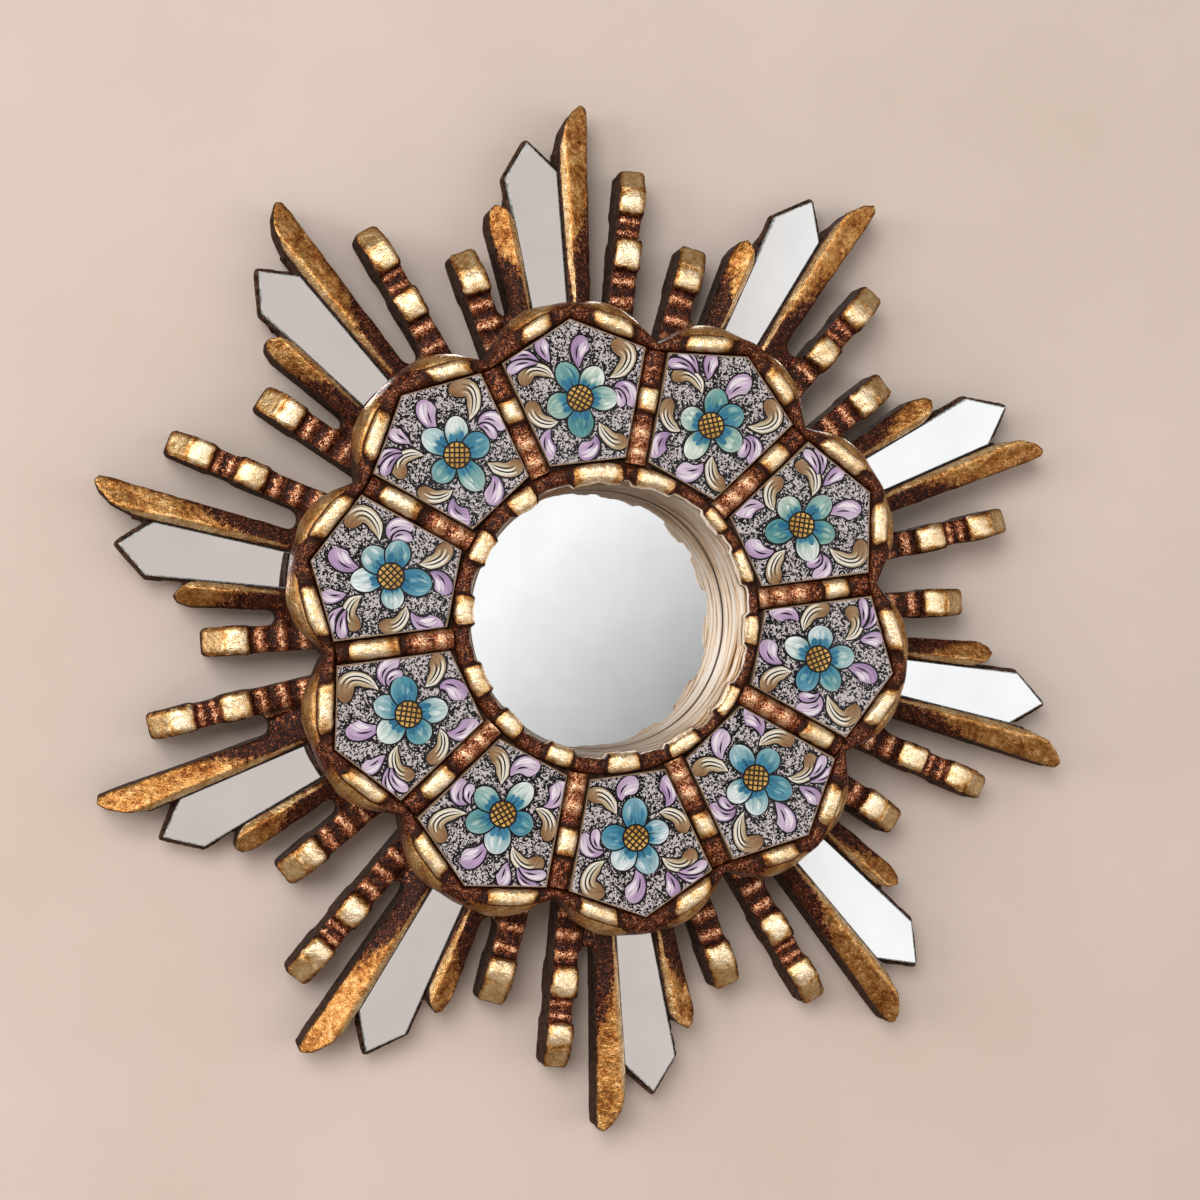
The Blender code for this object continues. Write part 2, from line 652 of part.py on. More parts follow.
def add_hanger():
    stand = Matrix(((0, 0, 1, 0), (1, 0, 0, HANGER_UP), (0, 1, 0, HINGE_Z), (0, 0, 0, 1)))
    strap = plate("hanger_strap", [strap_outline()], -STRAP_W / 2, STRAP_W / 2)
    strap.transform(stand)
    strap_item = add_object("hanger_strap", strap, steel)
    bore = plate("eye_bore", [circle(WIRE_R + GAP, 16)], -STRAP_W, STRAP_W)
    bore.transform(stand)
    add_cut(strap_item, add_cutter("eye_bore", bore))
    add_cut(strap_item, screw_hole("strap_hole", HINGE_Z, POCKET_D + OVERCUT))

    seat = POCKET_D - GAP - EYE_T - GAP
    dome = SCREW_HEAD_R * 0.62
    screw = turned("hanger_screw", [(0.0, seat + SCREW_L), (SCREW_R, seat + SCREW_L * 0.8), (SCREW_R, seat),
                                    (SCREW_HEAD_R, seat), (SCREW_HEAD_R, seat - SCREW_HEAD_T * 0.35),
                                    (dome, seat - SCREW_HEAD_T), (0.0, seat - SCREW_HEAD_T)])
    screw_item = turn_round(add_object("hanger_screw", screw, steel), 16)
    screw_item.location = (0.0, HANGER_UP - STRAP_L + SCREW_IN, 0.0)

    corner = RING_CORNER
    half = RING_HALF
    crown = RING_H - half
    path = [Vector((-STRAP_W / 2, 0.0)), Vector((STRAP_W / 2, 0.0))]
    path += [Vector((half - corner + corner * math.sin(a), -corner + corner * math.cos(a)))
             for a in (math.radians(15 * i) for i in range(7))]
    path += [Vector((half * math.cos(a), -crown - half * math.sin(a)))
             for a in (math.radians(15 * i) for i in range(13))]
    path += [Vector((-half + corner - corner * math.cos(a), -corner + corner * math.sin(a)))
             for a in (math.radians(15 * i) for i in range(7))]
    curve = bpy.data.curves.new("hanger_ring", "CURVE")
    curve.dimensions = "3D"
    curve.bevel_depth = WIRE_R
    curve.bevel_resolution = 2
    spline = curve.splines.new("POLY")
    spline.points.add(len(path) - 1)
    for point, place in zip(spline.points, path):
        point.co = (place.x, place.y, 0.0, 1.0)
    spline.use_cyclic_u = True
    ring = add_object("hanger_ring", curve, steel)
    ring.location = (0.0, HANGER_UP, HINGE_Z)


clear_scene()
parts = bpy.data.collections.new("wall_mirror")
cutters = bpy.data.collections.new("cutters")
for group in (parts, cutters):
    bpy.context.scene.collection.children.link(group)
root = bpy.data.objects.new("wall_mirror_root", None)
parts.objects.link(root)
root.rotation_euler.x = math.pi / 2

carved_wood = make_material("carved_wood", (0.16, 0.07, 0.03), 0.1, 0.5)
gilt_wood = make_material("gilt_wood", (0.60, 0.40, 0.15), 0.6, 0.4)
silvered_glass = make_material("silvered_glass", (0.85, 0.86, 0.88), 1.0, 0.05)
painted_glass = make_material("painted_glass", (0.30, 0.42, 0.45), 0.0, 0.15)
hardboard = make_material("hardboard", (0.28, 0.18, 0.10), 0.0, 0.8)
packing = make_material("packing_card", (0.55, 0.43, 0.30), 0.0, 0.9)
steel = make_material("plated_steel", (0.62, 0.60, 0.55), 1.0, 0.35)

tack_hole_cutters = add_tack_holes()
add_ray_segments(tack_hole_cutters)
add_middle(tack_hole_cutters)
add_flower_frame()
add_rim()
add_tiles_and_bars()
add_hanger()
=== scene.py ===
"""Looks of the sunburst wall mirror: carved and gilded rays, painted glass tiles and mirror glass.

New pieces are made lying face up, with x to the right, y up and z out of the wall, and then stand up.
"""
import math
import random

import bmesh
import bpy
import numpy as np
from mathutils import Matrix, Vector, noise


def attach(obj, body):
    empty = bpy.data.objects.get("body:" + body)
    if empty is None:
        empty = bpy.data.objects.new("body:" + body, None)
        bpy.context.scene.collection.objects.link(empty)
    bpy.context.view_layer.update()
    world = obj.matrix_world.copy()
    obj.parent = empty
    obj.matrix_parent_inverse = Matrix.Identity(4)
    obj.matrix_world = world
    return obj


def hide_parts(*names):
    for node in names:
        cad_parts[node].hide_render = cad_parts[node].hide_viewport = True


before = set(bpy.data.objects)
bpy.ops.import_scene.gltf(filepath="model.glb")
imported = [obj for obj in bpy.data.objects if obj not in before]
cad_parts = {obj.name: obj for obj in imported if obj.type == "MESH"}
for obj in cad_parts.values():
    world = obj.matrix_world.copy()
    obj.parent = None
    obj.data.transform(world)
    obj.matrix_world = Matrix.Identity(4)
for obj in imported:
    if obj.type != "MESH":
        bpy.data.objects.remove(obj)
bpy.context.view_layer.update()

STAND = Matrix.Rotation(math.radians(90), 4, "X")
LIE = STAND.inverted()
MM = 0.001
MERGE = 0.00001
BODY = "mirror_frame"

# Sizes of the pieces, in metres
UNITS = 10
PITCH = math.radians(360 / UNITS)
HALF = PITCH / 2
FIRST_TURN = math.radians(-7.4)
GAP = 0.0003
GLAZE_GAP = 0.0005
RAY_T = 0.0190
BED_T = 0.0100
HOLE_R = 0.0451
LINER_R = 0.0436
LINER_T = 0.0012
LINER_LOW = 0.0099
FRAME_Z = 0.0193
SEAT_Z = 0.0363
FIXED_Z = 0.0366
RIM_IN = 0.0438
RIM_OUT = 0.0507
RIM_H = 0.0058
RIM_DIP = 0.0015
RIM_WAVE = 0.0006
BAR_W = 0.0068
BAR_H = 0.0056
TILE_TOP = 0.0396
TILE_T = 0.0030
TILE_IN = 0.0512
TILE_IN_X = 0.01254
TILE_CORNER_X = 0.02385
TILE_CORNER_Y = 0.08601
TILE_PEAK_Y = 0.09801
TILE_FALL = (TILE_PEAK_Y - TILE_CORNER_Y) / TILE_CORNER_X
FLOWER_R = 0.10331
LOBE_R = 0.03404
LOBE_CENTRE = 0.06927
TACKS = 5

# Rays of one unit: turns from its axis, reaches from the middle, widths and carved lengths
LONG_CANE_R = 0.15041
SHORT_CANE_R = 0.13061
LONG_CANE_W = 0.0092
SHORT_CANE_W = 0.0098
LONG_CANE_TURN = math.radians(12.2)
SHORT_CANE_TURN = math.radians(-13.3)
LONG_BLADE_IN = math.radians(2.7)
LONG_BLADE_EDGE = math.radians(6.4)
SHORT_BLADE_IN = math.radians(-4.3)
SHORT_BLADE_EDGE = math.radians(-8.0)
END_FACET_L = 0.0075
BLOCK_L = 0.0080
NECK_L = 0.0082
LOW_BLOCK_L = 0.0105
RIDGE_IN = 0.0022

# How far each hand cut unit strays from the pattern: turn of the blades in degrees, then turn in degrees
# and reach in mm of the long cane and of the short cane
HAND_CUTS = (
    (0.2, 0.3, 1.0, 0.6, -0.7),
    (0.3, 0.3, -1.5, 0.2, -0.7),
    (-0.7, -0.3, -1.5, 0.1, -0.2),
    (0.5, 0.2, -2.0, -0.1, -1.2),
    (0.4, 0.4, -0.5, 0.1, -4.2),
    (0.7, 0.2, -0.5, 0.1, 1.3),
    (0.2, -0.6, 3.5, 0.0, 1.3),
    (-0.4, -0.4, 0.5, -0.5, 2.3),
    (-1.0, -0.5, 1.5, -0.8, -0.7),
    (-0.2, 0.3, -1.0, 0.0, 1.8),
)
# Further reach of each mirror strip in mm
STRIP_REACHES = (2.8, 3.8, 5.0, 3.3, 5.0, 1.7, 3.2, 0.3, 0.0, 1.0)
# Depth of each fork beside a long cane, in mm from the middle
FORKS = (104.0, 113.0, 107.0, 107.0, 105.0, 109.0, 108.0, 113.0, 103.5, 104.0)
# Radii between which a strip is drawn out, how much wider it is than its solid, as a share, and its bevel
STRIP_ROOT_R = 0.120
STRIP_PEAK_R = 0.1595
STRIP_WIDER = 0.03
STRIP_BEVEL = 0.0004

# Gilded blocks of the rim: turn clockwise from straight up and half length, in degrees
RIM_BLOCKS = ((-4.5, 10.0), (19.0, 8.0), (48.0, 4.8), (69.0, 6.5), (94.5, 5.4), (124.0, 6.0), (148.5, 6.4),
              (174.0, 6.2), (200.0, 5.0), (223.5, 5.0), (245.0, 5.8), (273.0, 5.4), (298.5, 5.8),
              (323.0, 5.4))
# Gilded blocks of the border, two for each unit: turn from its axis and half length, in degrees
BORDER_BLOCKS = (((-6.9, 3.2), (8.5, 3.9)), ((-8.1, 4.5), (8.3, 3.7)), ((-8.9, 4.7), (6.4, 4.0)),
                 ((-8.4, 4.3), (6.9, 4.0)), ((-7.4, 3.7), (6.9, 3.5)), ((-10.0, 4.3), (9.3, 3.8)),
                 ((-9.2, 4.6), (9.0, 4.2)), ((-8.9, 4.3), (8.0, 4.5)), ((-9.5, 4.8), (9.2, 4.8)),
                 ((-9.0, 4.4), (10.3, 4.0)))
# Gilded block of each bar: inner and outer end in mm from the middle
BAR_BLOCKS = ((68.5, 76.6), (71.6, 81.6), (72.9, 81.6), (74.8, 85.4), (70.0, 79.2), (69.1, 78.5),
              (70.5, 82.5), (68.5, 85.2), (69.8, 84.0), (69.8, 78.0))

# Turn where the wall of the well is painted lit, clear of painted shade, and how far that reaches either
# way
WELL_LIT = math.radians(100)
WELL_LIT_REACH = math.radians(44)
# How much wider the well was cut to the right, and how far right that starts and is full, as shares of its
# radius
WELL_WIDER = 0.0020
WIDER_FROM = (0.05, 0.85)
# Height of the liner's upper edge, and how much wider the border's bore is than the hole behind it
LINER_HIGH = SEAT_Z + 0.0002
BORE_CLEAR = 0.0012

# Grain of the carved meshes, and spacing of the ribs on canes and bars
CARVE_GRAIN = 0.00065
CANE_RIB = 0.0070
BAR_RIB = 0.0066
# Marks of the gouge: depths of the wide and the close ones on rays and on frame, and their sizes
RAY_MARKS = (0.00030, 0.00012)
FRAME_MARKS = (0.00022, 0.00010)
WIDE_MARK = 0.0055
CLOSE_MARK = 0.0017
# Worn patches of the leaf: how many to a radian of the border and of the rim, and to a metre of a bar
BORDER_WEAR = 30.4348
RIM_WEAR = 13.7931
BAR_WEAR = 300.0

WHOLE_TURN = 2 * math.pi
FINISH_KEYS = ("leaf", "tone", "wax", "side", "bare")
# Faces that lie against another piece keep clear of the marks of the gouge
UNMARKED = 2.0
HIDDEN = {"side": UNMARKED}
# Dull paint that is seen through the gloss of the glass before it
BEHIND_GLASS = {"Roughness": 0.5, "Specular_IOR_Level": 0.0, "Coat_Weight": 0.6, "Coat_Roughness": 0.03}


def linear(code):
    """Linear colour of an sRGB hex code."""
    parts = [int(code[i:i + 2], 16) / 255 for i in (1, 3, 5)]
    return (*[p / 12.92 if p <= 0.04045 else ((p + 0.055) / 1.055) ** 2.4 for p in parts], 1.0)


def add_node(tree, kind, inputs=(), stops=(), **settings):
    """Add a shader node with its settings, its colour stops, and a value or a link for each named input."""
    made = tree.nodes.new("ShaderNode" + kind)
    for name, value in settings.items():
        setattr(made, name, value)
    for key, value in dict(inputs).items():
        if isinstance(value, bpy.types.NodeSocket):
            tree.links.new(value, made.inputs[key])
        else:
            made.inputs[key].default_value = value
    for index, (place, code) in enumerate(stops):
        known = made.color_ramp.elements
        stop = known[index] if index < 2 else known.new(place)
        stop.position = place
        stop.color = linear(code)
    return made


def new_finish(name, **values):
    """Material with its own shader, and the values that are the same all over it."""
    material = bpy.data.materials.new(name)
    material.use_nodes = True
    shader = material.node_tree.nodes["Principled BSDF"]
    for key, value in values.items():
        shader.inputs[key.replace("_", " ")].default_value = value
    return material, material.node_tree, shader


def gilded_wood():
    """Carved cedar under red bole, gilded with bronze leaf and rubbed with dark wax: broken leaf on the
    raised blocks, near black bole with copper flecks in the necks, sooty sawn sides and bare wood behind.

    The attributes say where: leaf is gilding, tone how bright, partly the leaf's own tone and
    partly painted highlight, wax dirt, side a sawn side, bare the back.
    """
    material, tree, shader = new_finish("bronze_leaf_on_bole", Specular_IOR_Level=0.12)
    spot = add_node(tree, "TexCoord").outputs["Object"]
    where = {}
    for key in FINISH_KEYS:
        where[key] = add_node(tree, "Attribute", attribute_name=key).outputs["Fac"]
    # Clouds of 6 mm, breaks of 1.6 mm and grit of 0.5 mm
    cloud = add_node(tree, "TexNoise", {"Vector": spot, "Scale": 160.0, "Detail": 2.0}).outputs["Fac"]
    breaks = add_node(tree, "TexNoise", {"Vector": spot, "Scale": 620.0, "Detail": 4.0,
                                         "Roughness": 0.65}).outputs["Fac"]
    grit = add_node(tree, "TexNoise", {"Vector": spot, "Scale": 2000.0, "Detail": 3.0,
                                       "Roughness": 0.7}).outputs["Fac"]
    # Ragged edge of the leaf
    ragged = add_node(tree, "Math", {0: breaks, 1: 0.9, 2: where["leaf"]},
                      operation="MULTIPLY_ADD").outputs[0]
    gritty = add_node(tree, "Math", {0: grit, 1: 0.5, 2: ragged}, operation="MULTIPLY_ADD").outputs[0]
    cover = add_node(tree, "MapRange", {"Value": gritty, "From Min": 1.08, "From Max": 1.34}).outputs[0]
    mottle = add_node(tree, "Math", {0: grit, 1: 0.32}, operation="MULTIPLY").outputs[0]
    crinkle = add_node(tree, "Math", {0: breaks, 1: 0.42, 2: mottle}, operation="MULTIPLY_ADD").outputs[0]
    clouded = add_node(tree, "Math", {0: cloud, 1: 0.30, 2: crinkle}, operation="MULTIPLY_ADD").outputs[0]
    # The gold is brighter where tone is high: painted highlight on the middles of the blocks
    rubbed = add_node(tree, "Math", {0: where["tone"], 1: 0.30, 2: clouded},
                      operation="MULTIPLY_ADD").outputs[0]
    gold = add_node(tree, "ValToRGB", {"Fac": rubbed}, stops=(
        (0.42, "#2c1407"), (0.89, "#ffebca"), (0.53, "#8a5226"), (0.63, "#bd884c"),
        (0.75, "#e4c08c"))).outputs["Color"]
    # Bole, with copper showing through as flecks, brighter as painted highlight on the crests of ribs
    dust = add_node(tree, "Math", {0: grit, 1: 0.65}, operation="MULTIPLY").outputs[0]
    flecked = add_node(tree, "Math", {0: where["tone"], 1: 0.14, 2: dust},
                       operation="MULTIPLY_ADD").outputs[0]
    patched = add_node(tree, "Math", {0: breaks, 1: 0.35, 2: flecked}, operation="MULTIPLY_ADD").outputs[0]
    bole = add_node(tree, "ValToRGB", {"Fac": patched}, stops=(
        (0.43, "#100604"), (0.67, "#f0c8a2"), (0.51, "#2c1109"), (0.56, "#6a2e17"),
        (0.61, "#bd6a3a"))).outputs["Color"]
    sawn = add_node(tree, "ValToRGB", {"Fac": breaks}, stops=(
        (0.36, "#1a110b"), (0.72, "#66493a"))).outputs["Color"]
    # Grain 1 mm wide and 16 mm long, along the board that each piece was cut from
    board = add_node(tree, "Attribute", attribute_name="board").outputs["Vector"]
    grain = add_node(tree, "Mapping", {"Vector": board, "Scale": (900.0, 60.0, 900.0)}).outputs[0]
    fibre = add_node(tree, "TexNoise", {"Vector": grain, "Scale": 1.0, "Detail": 3.0}).outputs["Fac"]
    wood = add_node(tree, "ValToRGB", {"Fac": fibre}, stops=(
        (0.35, "#3d2819"), (0.68, "#7c5a3b"))).outputs["Color"]
    # Leaf over bole, wax over both, then the sawn sides and the bare back
    dressed = add_node(tree, "Mix", {0: cover, 6: bole, 7: gold}, data_type="RGBA").outputs[2]
    dirt = add_node(tree, "Math", {0: where["wax"], 1: breaks}, operation="MULTIPLY").outputs[0]
    thick = add_node(tree, "MapRange", {"Value": dirt, "From Min": 0.10, "From Max": 0.48}).outputs[0]
    waxed = add_node(tree, "Mix", {0: thick, 6: dressed, 7: linear("#2a130a")}, data_type="RGBA").outputs[2]
    sided = add_node(tree, "Mix", {0: where["side"], 6: waxed, 7: sawn}, data_type="RGBA").outputs[2]
    backed = add_node(tree, "Mix", {0: where["bare"], 6: sided, 7: wood}, data_type="RGBA").outputs[2]
    tree.links.new(backed, shader.inputs["Base Color"])
    # Leaf and flecks are metal where no wax and no sawn side dulls them
    off_side = add_node(tree, "Math", {0: 1.0, 1: where["side"]}, operation="SUBTRACT").outputs[0]
    bright = add_node(tree, "Math", {0: cover, 1: off_side}, operation="MULTIPLY").outputs[0]
    clean = add_node(tree, "Math", {0: 1.0, 1: thick}, operation="SUBTRACT").outputs[0]
    metal = add_node(tree, "Math", {0: bright, 1: clean}, operation="MULTIPLY").outputs[0]
    leafed = add_node(tree, "Math", {0: metal, 1: 0.92}, operation="MULTIPLY").outputs[0]
    glint = add_node(tree, "MapRange", {"Value": patched, "From Min": 0.55, "From Max": 0.63,
                                        "To Max": 0.8}).outputs[0]
    flash = add_node(tree, "Math", {0: glint, 1: clean}, operation="MULTIPLY").outputs[0]
    copper = add_node(tree, "Math", {0: flash, 1: off_side}, operation="MULTIPLY").outputs[0]
    shiny = add_node(tree, "Math", {0: copper, 1: leafed}, operation="MAXIMUM").outputs[0]
    tree.links.new(shiny, shader.inputs["Metallic"])
    satin = add_node(tree, "MapRange", {"Value": off_side, "To Min": 0.98, "To Max": 0.20}).outputs[0]
    grainy = add_node(tree, "Math", {0: grit, 1: 0.16, 2: satin}, operation="MULTIPLY_ADD").outputs[0]
    matt = add_node(tree, "Math", {0: thick, 1: 0.25, 2: grainy}, operation="MULTIPLY_ADD").outputs[0]
    tree.links.new(matt, shader.inputs["Roughness"])
    height = add_node(tree, "Math", {0: grit, 1: 0.26, 2: breaks}, operation="MULTIPLY_ADD").outputs[0]
    bump = add_node(tree, "Bump", {"Height": height, "Strength": 0.65, "Distance": 0.0007}).outputs[0]
    tree.links.new(bump, shader.inputs["Normal"])
    return material


def raw_wood():
    """Raw pale wood of the well, bent round: cream and pinkish tan, its grain running round in dark fine
    streaks. The attribute joint_and_shade is 1 on the dark joint beside the mirror, and paints shade over
    the wall away from its lit side to the right."""
    material, tree, shader = new_finish("raw_pale_wood", Roughness=0.85, Specular_IOR_Level=0.1)
    spot = add_node(tree, "UVMap", uv_map="round").outputs["UV"]
    joint_and_shade = add_node(tree, "Attribute", attribute_name="joint_and_shade").outputs["Fac"]
    # Broad bands 5 mm high and 60 mm long, and streaks 1.2 mm high and 20 mm long
    wide = add_node(tree, "Mapping", {"Vector": spot, "Scale": (17.0, 210.0, 1.0)}).outputs[0]
    growth = add_node(tree, "TexNoise", {"Vector": wide, "Scale": 1.0, "Detail": 2.0}).outputs["Fac"]
    fine = add_node(tree, "Mapping", {"Vector": spot, "Scale": (48.0, 820.0, 1.0)}).outputs[0]
    streak = add_node(tree, "TexNoise", {"Vector": fine, "Scale": 1.0, "Detail": 5.0, "Roughness": 0.7,
                                         "Distortion": 0.6}).outputs["Fac"]
    fibre = add_node(tree, "Math", {0: growth, 1: 0.55, 2: streak}, operation="MULTIPLY_ADD").outputs[0]
    colour = add_node(tree, "ValToRGB", {"Fac": fibre}, stops=(
        (0.56, "#422511"), (0.86, "#fffaf2"), (0.64, "#9c6e44"), (0.70, "#dcb78c"),
        (0.77, "#fae4ca"))).outputs["Color"]
    # Dark joint, and painted shade away from the lit side, in the same dark brown
    lined = add_node(tree, "Mix", {0: joint_and_shade, 6: colour, 7: linear("#361c0d")}, data_type="RGBA").outputs[2]
    tree.links.new(lined, shader.inputs["Base Color"])
    bump = add_node(tree, "Bump", {"Height": streak, "Strength": 0.7, "Distance": 0.0005}).outputs[0]
    tree.links.new(bump, shader.inputs["Normal"])
    return material


def silvered_glass():
    """Silvered float glass: a clean reflection with the faintest haze of handling."""
    material, tree, shader = new_finish("silvered_float_glass", Metallic=1.0)
    spot = add_node(tree, "TexCoord").outputs["Object"]
    # Clouds of haze 17 mm wide
    haze = add_node(tree, "TexNoise", {"Vector": spot, "Scale": 60.0, "Detail": 3.0}).outputs["Fac"]
    colour = add_node(tree, "ValToRGB", {"Fac": haze}, stops=(
        (0.3, "#f4f5f5"), (0.7, "#fbfcfc"))).outputs["Color"]
    tree.links.new(colour, shader.inputs["Base Color"])
    rough = add_node(tree, "MapRange", {"Value": haze, "From Min": 0.45, "From Max": 0.8,
                                        "To Min": 0.012, "To Max": 0.04}).outputs[0]
    tree.links.new(rough, shader.inputs["Roughness"])
    return material


def cut_edge():
    """Cut and ground edge of the mirror glass: grey green and satin, with the marks of the stone."""
    material, tree, shader = new_finish("ground_glass_edge", IOR=1.52)
    spot = add_node(tree, "TexCoord").outputs["Object"]
    # Marks of 1.1 mm, coarser than real ones so that they show
    grind = add_node(tree, "TexNoise", {"Vector": spot, "Scale": 900.0, "Detail": 2.0}).outputs["Fac"]
    colour = add_node(tree, "ValToRGB", {"Fac": grind}, stops=(
        (0.35, "#767a76"), (0.7, "#d6dad5"))).outputs["Color"]
    tree.links.new(colour, shader.inputs["Base Color"])
    rough = add_node(tree, "MapRange", {"Value": grind, "To Min": 0.15, "To Max": 0.4}).outputs[0]
    tree.links.new(rough, shader.inputs["Roughness"])
    return material


def speckled_ground():
    """Ground of the painted glass: black dabbed thinly over silver in worm-like specks about 1 mm long,
    under the gloss of the glass. The attribute close is 1 beside the strokes, where the specks are closer,
    and edge is 1 on the tan line round the tile."""
    material, tree, shader = new_finish("speckled_ground_behind_glass", **BEHIND_GLASS)
    spot = add_node(tree, "TexCoord").outputs["Object"]
    edge = add_node(tree, "Attribute", attribute_name="edge").outputs["Fac"]
    close = add_node(tree, "Attribute", attribute_name="close").outputs["Fac"]
    # Dabs 0.7 mm wide
    dab = add_node(tree, "TexNoise", {"Vector": spot, "Scale": 1500.0, "Detail": 1.2, "Roughness": 0.6,
                                      "Distortion": 0.7}).outputs["Fac"]
    worm = add_node(tree, "Math", {0: close, 1: 0.09, 2: dab}, operation="MULTIPLY_ADD").outputs[0]
    colour = add_node(tree, "ValToRGB", {"Fac": worm}, stops=(
        (0.483, "#ccc4c4"), (0.505, "#0e0b0c"), (0.36, "#b6aeaf"))).outputs["Color"]
    lined = add_node(tree, "Mix", {0: edge, 6: colour, 7: linear("#8a7058")}, data_type="RGBA").outputs[2]
    tree.links.new(lined, shader.inputs["Base Color"])
    return material


def brush_paint():
    """Oil paint laid on with a pointed brush behind the glass: each stroke in its own streaked colour."""
    material, tree, shader = new_finish("oil_paint_behind_glass", **BEHIND_GLASS)
    paint = add_node(tree, "Attribute", attribute_name="paint").outputs["Color"]
    along = add_node(tree, "UVMap", uv_map="stroke").outputs["UV"]
    # Bristle marks 0.4 mm apart and 5 mm long
    drawn = add_node(tree, "Mapping", {"Vector": along, "Scale": (260.0, 2400.0, 1.0)}).outputs[0]
    bristle = add_node(tree, "TexNoise", {"Vector": drawn, "Scale": 1.0, "Detail": 3.0}).outputs["Fac"]
    shift = add_node(tree, "MapRange", {"Value": bristle, "From Min": 0.3, "From Max": 0.7,
                                        "To Min": 0.68, "To Max": 1.22}).outputs[0]
    colour = add_node(tree, "VectorMath", {0: paint, 1: shift}, operation="MULTIPLY").outputs[0]
    tree.links.new(colour, shader.inputs["Base Color"])
    return material


def hardboard():
    """Oiled hardboard: dark brown pressed fibre with a fine mottle."""
    material, tree, shader = new_finish("oiled_hardboard")
    spot = add_node(tree, "TexCoord").outputs["Object"]
    # Clumps of fibre 1.4 mm wide
    fibre = add_node(tree, "TexNoise", {"Vector": spot, "Scale": 700.0, "Detail": 5.0,
                                        "Roughness": 0.7}).outputs["Fac"]
    colour = add_node(tree, "ValToRGB", {"Fac": fibre}, stops=(
        (0.32, "#3a2416"), (0.70, "#8a6340"), (0.5, "#5e3f27"))).outputs["Color"]
    tree.links.new(colour, shader.inputs["Base Color"])
    rough = add_node(tree, "MapRange", {"Value": fibre, "To Min": 0.6, "To Max": 0.85}).outputs[0]
    tree.links.new(rough, shader.inputs["Roughness"])
    bump = add_node(tree, "Bump", {"Height": fibre, "Strength": 0.3, "Distance": 0.0003}).outputs[0]
    tree.links.new(bump, shader.inputs["Normal"])
    return material


def packing_card():
    """Grey-brown millboard, rough and matt."""
    material, tree, shader = new_finish("millboard", Roughness=0.9)
    spot = add_node(tree, "TexCoord").outputs["Object"]
    # Clumps of pulp 0.8 mm wide
    pulp = add_node(tree, "TexNoise", {"Vector": spot, "Scale": 1200.0, "Detail": 4.0}).outputs["Fac"]
    colour = add_node(tree, "ValToRGB", {"Fac": pulp}, stops=(
        (0.3, "#7d6a52"), (0.7, "#a8927a"))).outputs["Color"]
    tree.links.new(colour, shader.inputs["Base Color"])
    return material


def plated_steel():
    """Brass plated steel, pressed and drawn: satin, with fine draw lines and dulled plating."""
    material, tree, shader = new_finish("brass_plated_steel", Metallic=1.0)
    spot = add_node(tree, "TexCoord").outputs["Object"]
    # Draw lines 0.3 mm wide and 4 mm long, coarser than real ones so that they show, and dull spots of 3 mm
    drawn = add_node(tree, "Mapping", {"Vector": spot, "Scale": (3000.0, 3000.0, 250.0)}).outputs[0]
    line = add_node(tree, "TexNoise", {"Vector": drawn, "Scale": 1.0, "Detail": 2.0}).outputs["Fac"]
    dull = add_node(tree, "TexNoise", {"Vector": spot, "Scale": 350.0, "Detail": 3.0}).outputs["Fac"]
    colour = add_node(tree, "ValToRGB", {"Fac": dull}, stops=(
        (0.35, "#8c7440"), (0.68, "#d8bf85"))).outputs["Color"]
    tree.links.new(colour, shader.inputs["Base Color"])
    rough = add_node(tree, "MapRange", {"Value": line, "To Min": 0.22, "To Max": 0.5}).outputs[0]
    tree.links.new(rough, shader.inputs["Roughness"])
    return material


def smooth_step(low, high, value):
    """Smooth rise from 0 at low to 1 at high, of a number or of an array."""
    share = np.clip((value - low) / (high - low), 0.0, 1.0)
    return share * share * (3 - 2 * share)


def band(value, start, end, soft):
    """1 from start to end, falling to 0 over a soft edge."""
    return smooth_step(start - soft, start + soft, value) * (1 - smooth_step(end - soft, end + soft, value))


def lobe_radius(turn):
    """Radius of the flower outline at an angle from its unit axis."""
    reach = LOBE_CENTRE * math.cos(turn)
    return reach + math.sqrt(LOBE_R ** 2 - LOBE_CENTRE ** 2 + reach ** 2)


def tile_radius(turn):
    """Radius of the tile's outer edges, with a gap round them, at an angle from the unit axis."""
    peak = TILE_PEAK_Y + GLAZE_GAP * math.hypot(1.0, TILE_FALL)
    return peak / (math.cos(turn) + TILE_FALL * abs(math.sin(turn)))


def unit_turn(turn):
    """Angle from the nearest unit axis."""
    return (turn + HALF) % PITCH - HALF


def show_piece(name, mesh, finishes, slot, *nodes):
    """Stand a face up mesh in its place, as a piece that rides on the frame and stands for CAD nodes."""
    mesh.transform(STAND)
    for finish in finishes:
        mesh.materials.append(finish)
    piece = bpy.data.objects.new(name, mesh)
    bpy.context.scene.collection.objects.link(piece)
    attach(piece, BODY)
    if nodes:
        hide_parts(*nodes)
    return piece


def merged_copy(node):
    """Face up copy of a CAD solid with its loose triangles joined."""
    shape = bmesh.new()
    shape.from_mesh(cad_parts[node].data)
    bmesh.ops.remove_doubles(shape, verts=shape.verts, dist=MERGE)
    bmesh.ops.transform(shape, matrix=LIE, verts=shape.verts)
    return shape


def numbered(name, index):
    """Name of one of several like pieces."""
    return f"{name}_{index + 1:02d}"


def grid_verts(shape, long_steps, wide_steps):
    """Vertices of a new flat grid, which runs from -1 to 1 both ways."""
    return bmesh.ops.create_grid(shape, x_segments=long_steps, y_segments=wide_steps, size=1.0)["verts"]


def write_flat(faces, layer, flat):
    """Give each corner of some faces the flat place of its vertex."""
    for face in faces:
        for loop in face.loops:
            loop[layer].uv = flat[loop.vert]


